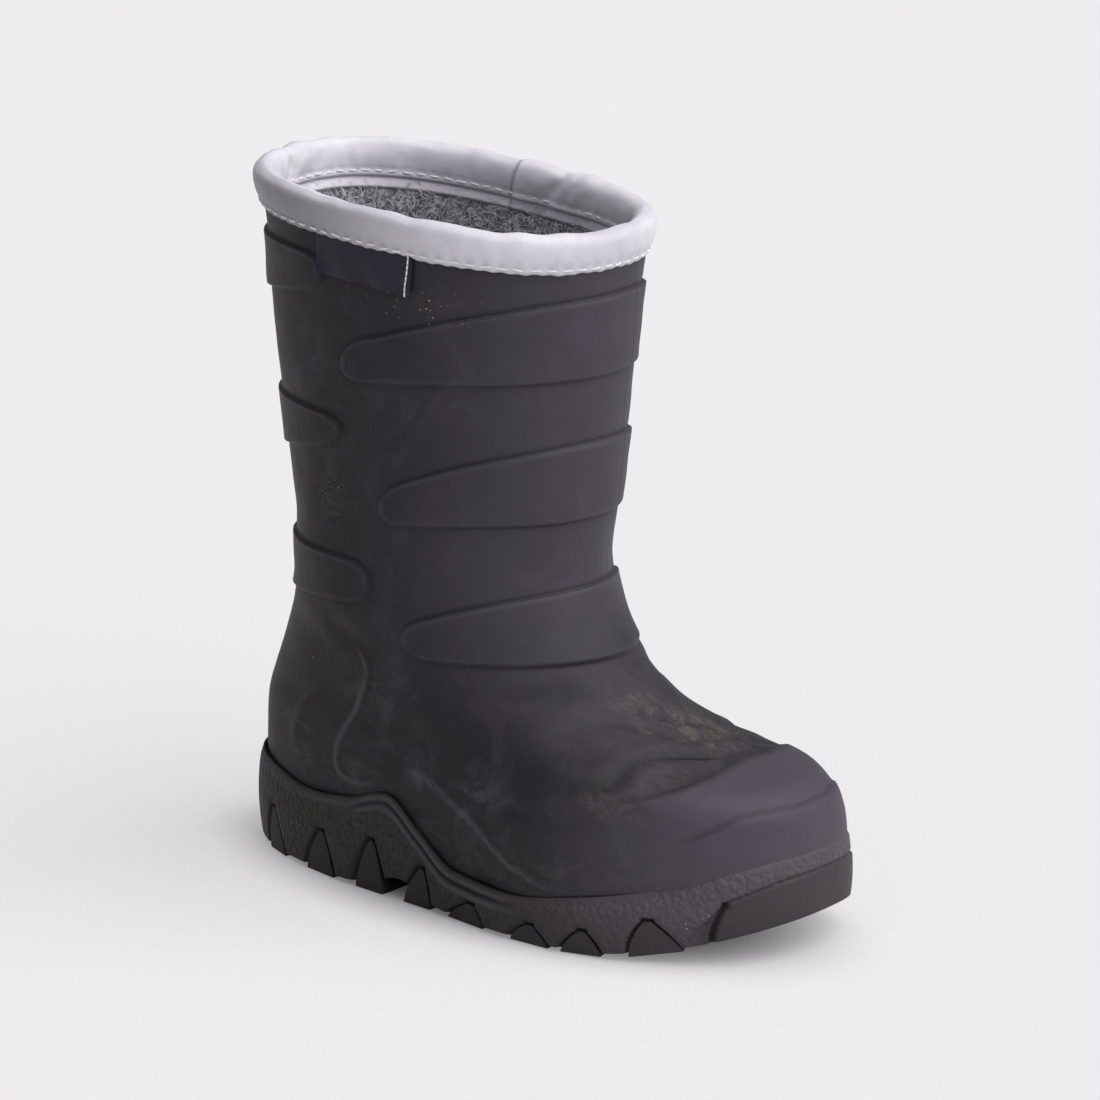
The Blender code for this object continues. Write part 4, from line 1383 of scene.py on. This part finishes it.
def make_binding(material):
    """The folded tape: its stitched hems, puckers, overlap and roll over the rim."""
    columns = np.linspace(-np.pi, np.pi, binding_columns, endpoint=False)
    section = section_through(BINDING_SECTION, binding_rows)*MM
    around, down = np.meshgrid(columns, section[:, 0])
    out, lift = (np.meshgrid(columns, section[:, k])[1] for k in (1, 2))
    arc = arc_along(np.concatenate([columns, [np.pi]]))
    total = arc[-1]
    scallop = 0.5 + 0.5*np.cos(arc[:-1]/total*round(total/stitch_pitch)*2*np.pi)
    outer_side = out > -0.8*MM
    inner_face = ~outer_side & (down > 0) & (out < -3.2*MM)
    hidden = ~outer_side & (np.abs(out) < 3.0*MM) & (down > 0.2*MM)
    hidden |= outer_side & (out < 0.5*MM) & (lift < 0.5*MM)
    pinch_out = bell(down - outer_stitch_down*MM, pinch_breadth)*outer_side*(out > 0.5*MM)
    pinch_in = bell(down - inner_stitch_down*MM, pinch_breadth)*inner_face
    body = bell(down - 3.5*MM, 3.5*MM)
    stretched = collar_point(around, down, out, lift).reshape(-1, 3)*np.array([1.0, 1.0, 0.35])
    soft, fine = (ripple(stretched, length*MM, seed).reshape(around.shape)
                  for length, seed in ((13, 21), (5, 22)))
    swell = scallop_depth*(scallop - 0.5)*(pinch_out + pinch_in)
    swell += body*MM*(0.22*soft + 0.07*fine)
    pucker = np.zeros(around.shape)
    for mark, breadth, depth in PUCKERS:
        gap = angle_gap(around, mark) + (down - 4*MM)/MM*0.55
        pucker += depth*MM*(bell(gap, breadth) - 0.6*bell(gap - 1.8*breadth, breadth))
    swell -= pucker*np.where(outer_side, 0.25, 1.0)*(0.4 + 0.6*body)
    lap = angle_gap(around, overlap_angle) + (down/MM - 4)*0.22
    lap_over = rounded_step(lap, 0.35)*ramp(lap, 26, -6)
    swell += lap_step*lap_over*(out < 1.6*MM)*(down < 9.4*MM)
    swell = np.where(hidden, 0, swell)
    hem = bell(down - 8.8*MM, 1.0*MM)*(out > 0.3*MM)
    drop = hem_wave*(scallop - 0.5)*hem + 0.18*MM*hem*soft
    points = collar_point(around, down + drop, out + np.where(outer_side, swell, -swell), lift)
    over = np.where(hidden, 0, np.clip(lift/(1.2*MM), 0, 1))
    points[..., 2] += over*(0.25*MM*soft - 0.4*pucker + 0.35*MM*lap_over)
    # Painted shade along the overlap's edge, under the tape's inner edge below its stitches and
    # between the outer stitches
    seam = bell(lap + 0.25, 0.35)*bell(lap, 4)*~outer_side
    groove_shade = np.maximum(0.9*bell(down - 9.25*MM, 0.28*MM)*inner_face, seam)
    shade = 0.85*(1 - ramp(np.abs(angle_gap(around, 133.0)), 18, 54))*outer_side
    shade = shade*(1 - 0.6*smooth_step(lift/(1.4*MM)))
    masks = {
        "flange": inner_face & (down > 9.1*MM),
        "groove_shade": np.maximum(groove_shade, 0.25*pinch_out*(1 - scallop)),
        "shade": shade + 0.14*bell(angle_gap(around, -5.0), 38)*outer_side,
    }
    faces = tube_faces(len(section), len(columns), True)
    binding = add_piece("collar_tape", points.reshape(-1, 3), faces, material,
                        masks)
    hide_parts("collar_binding")
    return binding


def thread_tube(path, radius, sides=6):
    """A closed tube along a path, with a radius of its own at each point."""
    way = np.gradient(path, axis=0)
    way /= np.linalg.norm(way, axis=1, keepdims=True)
    helper = np.array([0.0, 0.0, 1.0]) if abs(way[0][2]) < 0.9 else np.array([1.0, 0.0, 0.0])
    across = np.cross(way, helper)
    across /= np.linalg.norm(across, axis=1, keepdims=True)
    other = np.cross(way, across)
    turn = np.linspace(0, 2*np.pi, sides, endpoint=False)[None, :, None]
    radius = np.broadcast_to(radius, len(path))[:, None, None]
    rings = path[:, None] + radius*(across[:, None]*np.cos(turn) + other[:, None]*np.sin(turn))
    return rings.reshape(-1, 3), capped_faces(len(path), sides)


def make_stitches(material):
    """White stitches along the binding's outer hem and inner edge."""
    fine = np.linspace(-np.pi, np.pi, 4001)
    arc = arc_along(fine)
    count = round(arc[-1]/stitch_pitch)
    along = np.linspace(-1, 1, 7)
    lift_out = (0.30*(1 - along**4) - 0.22)*MM
    thick = stitch_radius*(1 - 0.35*along**4)
    rng = np.random.default_rng(5)
    solids = []
    for down, out, sign, share in STITCH_LINES:
        for k in range(count):
            middle = (k + 0.5)/count*arc[-1] + rng.normal()*0.12*MM
            half = share*stitch_pitch/2*(1 + rng.normal()*0.06)
            angles = np.interp((middle + along*half) % arc[-1], arc, fine)
            tilt = rng.normal()*0.12*MM
            depth = down*MM + tilt*along + rng.normal()*0.06*MM
            path = collar_point(angles, depth, out*MM + sign*lift_out, 0.0)
            solids.append(thread_tube(path, thick, 7))
    points, faces = join_solids(solids)
    return add_piece("tape_stitches", points, faces, material)


def make_lining(material):
    """The felt on the wall's inside, matted and uneven."""
    columns = np.linspace(-np.pi, np.pi, felt_columns, endpoint=False)
    top = below_rim(columns, 6*MM)
    place = 0.02 + (top - 0.02)*np.linspace(0, 1, felt_rows)[:, None]
    around = np.broadcast_to(columns, place.shape)
    base = shell_point(around, place).reshape(-1, 3)
    nap = sum(depth*ripple(base, length*MM, seed)
              for depth, length, seed in NAP)
    thick = MM*(0.12 + 0.8*np.abs(nap.reshape(around.shape)))*0.6
    inner = offset_point(around, place, -wall - thick)
    outer = offset_point(around[::3], place[::3], -0.60*wall)
    points = np.concatenate([inner, outer[::-1]])
    faces = tube_faces(len(points), len(columns), True)
    return add_piece("felt_lining", points.reshape(-1, 3), faces, material)


def make_fibres(material):
    """Curly wool on the felt's face, thickest where the open collar shows it."""
    rng = np.random.default_rng(11)
    near_top = rng.random(fibre_count) < fibres_near_top
    start_angle = rng.uniform(-np.pi, np.pi, fibre_count)
    depth = np.where(near_top, rng.uniform(*FIBRE_TOP, fibre_count),
                     rng.uniform(*FIBRE_DEEP, fibre_count))
    along = np.linspace(-1, 1, fibre_steps)
    arch = np.sin(np.linspace(0, np.pi, fibre_steps))
    solids = []
    tones = []
    for angle, down in zip(start_angle, depth):
        length = rng.uniform(*FIBRE_LENGTH)
        heading = rng.uniform(0, 2*np.pi)
        curl = rng.normal()*0.55
        track = []
        for _ in range(fibre_steps):
            track.append((angle, down))
            angle += length/fibre_steps*cos(heading)/45
            down += length/fibre_steps*sin(heading)
            heading += curl + rng.normal()*0.25
        angles, downs = np.transpose(track)
        out = -(2.95 + 0.45*arch*rng.uniform(0.4, 1.6))
        path = collar_point(angles, np.clip(downs, 9.4, 165)*MM, out*MM, 0.0)
        thick = rng.uniform(*FIBRE_RADIUS)*MM*(1 - 0.5*along**2)
        solids.append(thread_tube(path, thick, 3))
        tones.append(np.full(fibre_steps*3, rng.random()**0.55))
    points, faces = join_solids(solids)
    return add_piece("felt_fibres", points, faces, material,
                     {"tone": np.concatenate(tones)})


def make_insole(material):
    """The pad on the footbed, with a soft edge and a slight cup at the heel."""
    columns = np.linspace(0, 2*np.pi, insole_columns, endpoint=False)
    bottom, top = insole_rings(columns, insole_thickness)
    centre = top.copy()
    centre[:, 1] = (top[:, 1] + np.roll(top[::-1], 1, axis=0)[:, 1])/2
    rings = [bottom, bottom + (top - bottom)*0.7]
    for share in (0.985, 0.95, 0.88, 0.78, 0.66, 0.54, 0.42, 0.30, 0.18, 0.08):
        ring = centre + (top - centre)*share
        ring[:, 2] = top[:, 2] - 0.35*MM*smooth_step((1 - share)/0.3)
        rings.append(ring)
    points = np.array(rings)
    nap = ripple(points.reshape(-1, 3), 7*MM, 41).reshape(points.shape[:2])
    points[2:, :, 2] += 0.12*MM*nap[2:] - 0.10*MM
    faces = closed_faces(len(points), insole_columns)
    pad = add_piece("insole_pad", points.reshape(-1, 3), faces, material)
    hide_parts("insole")
    return pad


def tab_frame(across, down):
    """The tab's back: its angles, section positions and distances out from the shell.

    across is the share of its width from the toe end, and down is in millimetres.
    """
    outer_half = np.linspace(0.02, np.pi - 0.02, 400)
    edge_line = shell_point(outer_half, below_rim(outer_half, binding_outside))
    ends = tab_ahead + (0.5 - across)*tab_width
    around = np.interp(-ends, -edge_line[:, 0], outer_half)
    top = np.interp(around, outer_half, edge_line[:, 2]) - clearance
    place = place_at_height(around, top - np.maximum(down, tab_tuck)*MM)
    relief, _, _ = band_relief(around, shell_point(around, place)[..., 2])
    loose = ramp(down, -1.0, 10.0)
    bow = 0.25*np.sin(across*9.0 + 0.6) + 0.20*np.sin(across*17.0 + down*0.3)
    curl = 0.55*ramp(across, 0.90, 0.10)*loose + 0.35*ramp(across, 0.08, -0.08)*loose
    return around, place, relief + MM*(0.35 + loose*(0.25 + bow + curl))


def make_tab(material, thread):
    """The woven tab, tucked under the binding, with a line of thread by its toe end."""
    across, down = np.meshgrid(np.linspace(0, 1, tab_columns),
                               np.linspace(tab_tuck - 0.2, tab_drop/MM, tab_rows))
    around, place, out = tab_frame(across, down)
    hem = 1 - 0.75*ramp(np.abs(across - 0.5), 0.485, 0.015)
    front = offset_point(around, place, out + tab_thickness*hem)
    back = offset_point(around, place, out)
    points = np.concatenate([front.reshape(-1, 3), back.reshape(-1, 3)])
    faces = []
    base = tab_rows*tab_columns
    for i in range(tab_rows - 1):
        for k in range(tab_columns - 1):
            a = i*tab_columns + k
            quad = (a, a + 1, a + tab_columns + 1, a + tab_columns)
            faces.append(quad)
            faces.append(tuple(base + v for v in quad[::-1]))
    grid = np.arange(base).reshape(tab_rows, tab_columns)
    border = [*grid[0], *grid[1:, -1], *grid[-1, -2::-1], *grid[-2:0:-1, 0]]
    for a, b in zip(border, border[1:] + border[:1]):
        faces.append((b, a, base + a, base + b))
    masks = {"along": np.tile(across.ravel(), 2), "down": np.tile(down.ravel()/(tab_drop/MM), 2)}
    tab = add_piece("woven_tab", points, faces, material, masks)
    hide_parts("side_tab")
    solids = []
    for start in np.arange(-0.8, tab_drop/MM - 0.6, thread_pitch):
        down = np.linspace(start, start + thread_stitch, 6)
        around, place, out = tab_frame(0.035 + 0.012*ramp(down, 5, 5), down)
        out = out + tab_thickness + MM*(0.14*np.sin(np.linspace(0, np.pi, 6)) - 0.02)
        solids.append(thread_tube(offset_point(around, place, out), 0.24*MM))
    points, faces = join_solids(solids)
    add_piece("tab_thread", points, faces, thread)
    return tab


def make_stage():
    """A plain pale floor that glows a little as painted light, which thins the boot's shadow on it,
    but not under the boot and close around it, which leaves a painted contact shadow there.
    """
    paint = Paint("floor_paper")
    grain = paint.noise(420, 4, 0.6)
    paint.base(grain, PAPER, PAPER_PALE)
    paint.bump(grain, 0.0003, 0.4)
    away = paint.node("ShaderNodeVectorMath", {0: paint.stretched((19.0, 9.6, 0.0))},
                      operation="LENGTH").outputs["Value"]
    glow = paint.times(paint.span(away, 0.52, 1.15, 0.03, 0.485), paint.scaled(grain, 0.10, 0.95))
    mesh = bpy.data.meshes.new("floor")
    corners = [(x*floor_reach, y*floor_reach, 0) for x, y in ((-1, -1), (1, -1), (1, 1), (-1, 1))]
    mesh.from_pydata(corners, [], [(0, 1, 2, 3)])
    mesh.materials.append(paint.complete(
        Roughness=0.9, Specular_IOR_Level=0.0, Emission_Color=(1.0, 0.985, 1.0),
        Emission_Strength=glow))
    floor = add_object("floor", mesh)
    floor.location.z = -0.0002


def add_light(name, come_from, strength, breadth, colour):
    """A broad soft light from far away, so that it lights the whole floor evenly."""
    light = bpy.data.lights.new(name, "SUN")
    light.energy = strength
    light.angle = radians(breadth)
    light.color = colour
    aim = (-Vector(come_from)).to_track_quat("-Z", "Y")
    add_object(name, light).rotation_euler = aim.to_euler()


def make_lights():
    world = bpy.data.worlds.new("studio")
    world.use_nodes = True
    background = world.node_tree.nodes["Background"]
    background.inputs["Color"].default_value = (0.95, 0.94, 1.0, 1.0)
    background.inputs["Strength"].default_value = 0.30
    bpy.context.scene.world = world
    for light in LIGHTS:
        add_light(*light)


def make_camera():
    """The picture's camera: its angle to the boot, rolled as it was."""
    azimuth = radians(camera_azimuth)
    elevation = radians(camera_elevation)
    back = Vector((-cos(azimuth)*cos(elevation), -sin(azimuth)*cos(elevation), sin(elevation)))
    right = (-back).cross(Vector((0, 0, 1))).normalized()
    up = right.cross(-back)
    roll = radians(camera_roll)
    rolled_right = right*cos(roll) + up*sin(roll)
    rolled_up = up*cos(roll) - right*sin(roll)
    target = Vector(to_world([camera_ahead, 0.0, camera_height]) + shift)
    turn = Matrix((rolled_right, rolled_up, back)).transposed().to_4x4()
    lens = bpy.data.cameras.new("camera")
    lens.lens = focal_pixels/picture_pixels*film_width
    lens.sensor_width = film_width
    lens.clip_end = 60
    camera = add_object("camera", lens)
    camera.matrix_world = Matrix.Translation(target + back*camera_distance) @ turn
    bpy.context.scene.camera = camera


make_camera()
make_stage()
make_lights()
bpy.context.scene.view_settings.view_transform = "Standard"
rubber = rubber_material()
tread = tread_material()
tape = binding_material()
white_thread = thread_material("white_thread", THREAD)
felt = felt_material()
make_shell(rubber)
sole_lugs = lug_list()
make_sole(tread, sole_lugs)
make_lugs(tread, sole_lugs)
make_binding(tape)
make_stitches(white_thread)
make_lining(felt)
make_fibres(fibre_material())
make_insole(felt)
make_tab(tab_material(), white_thread)

bpy.context.view_layer.update()
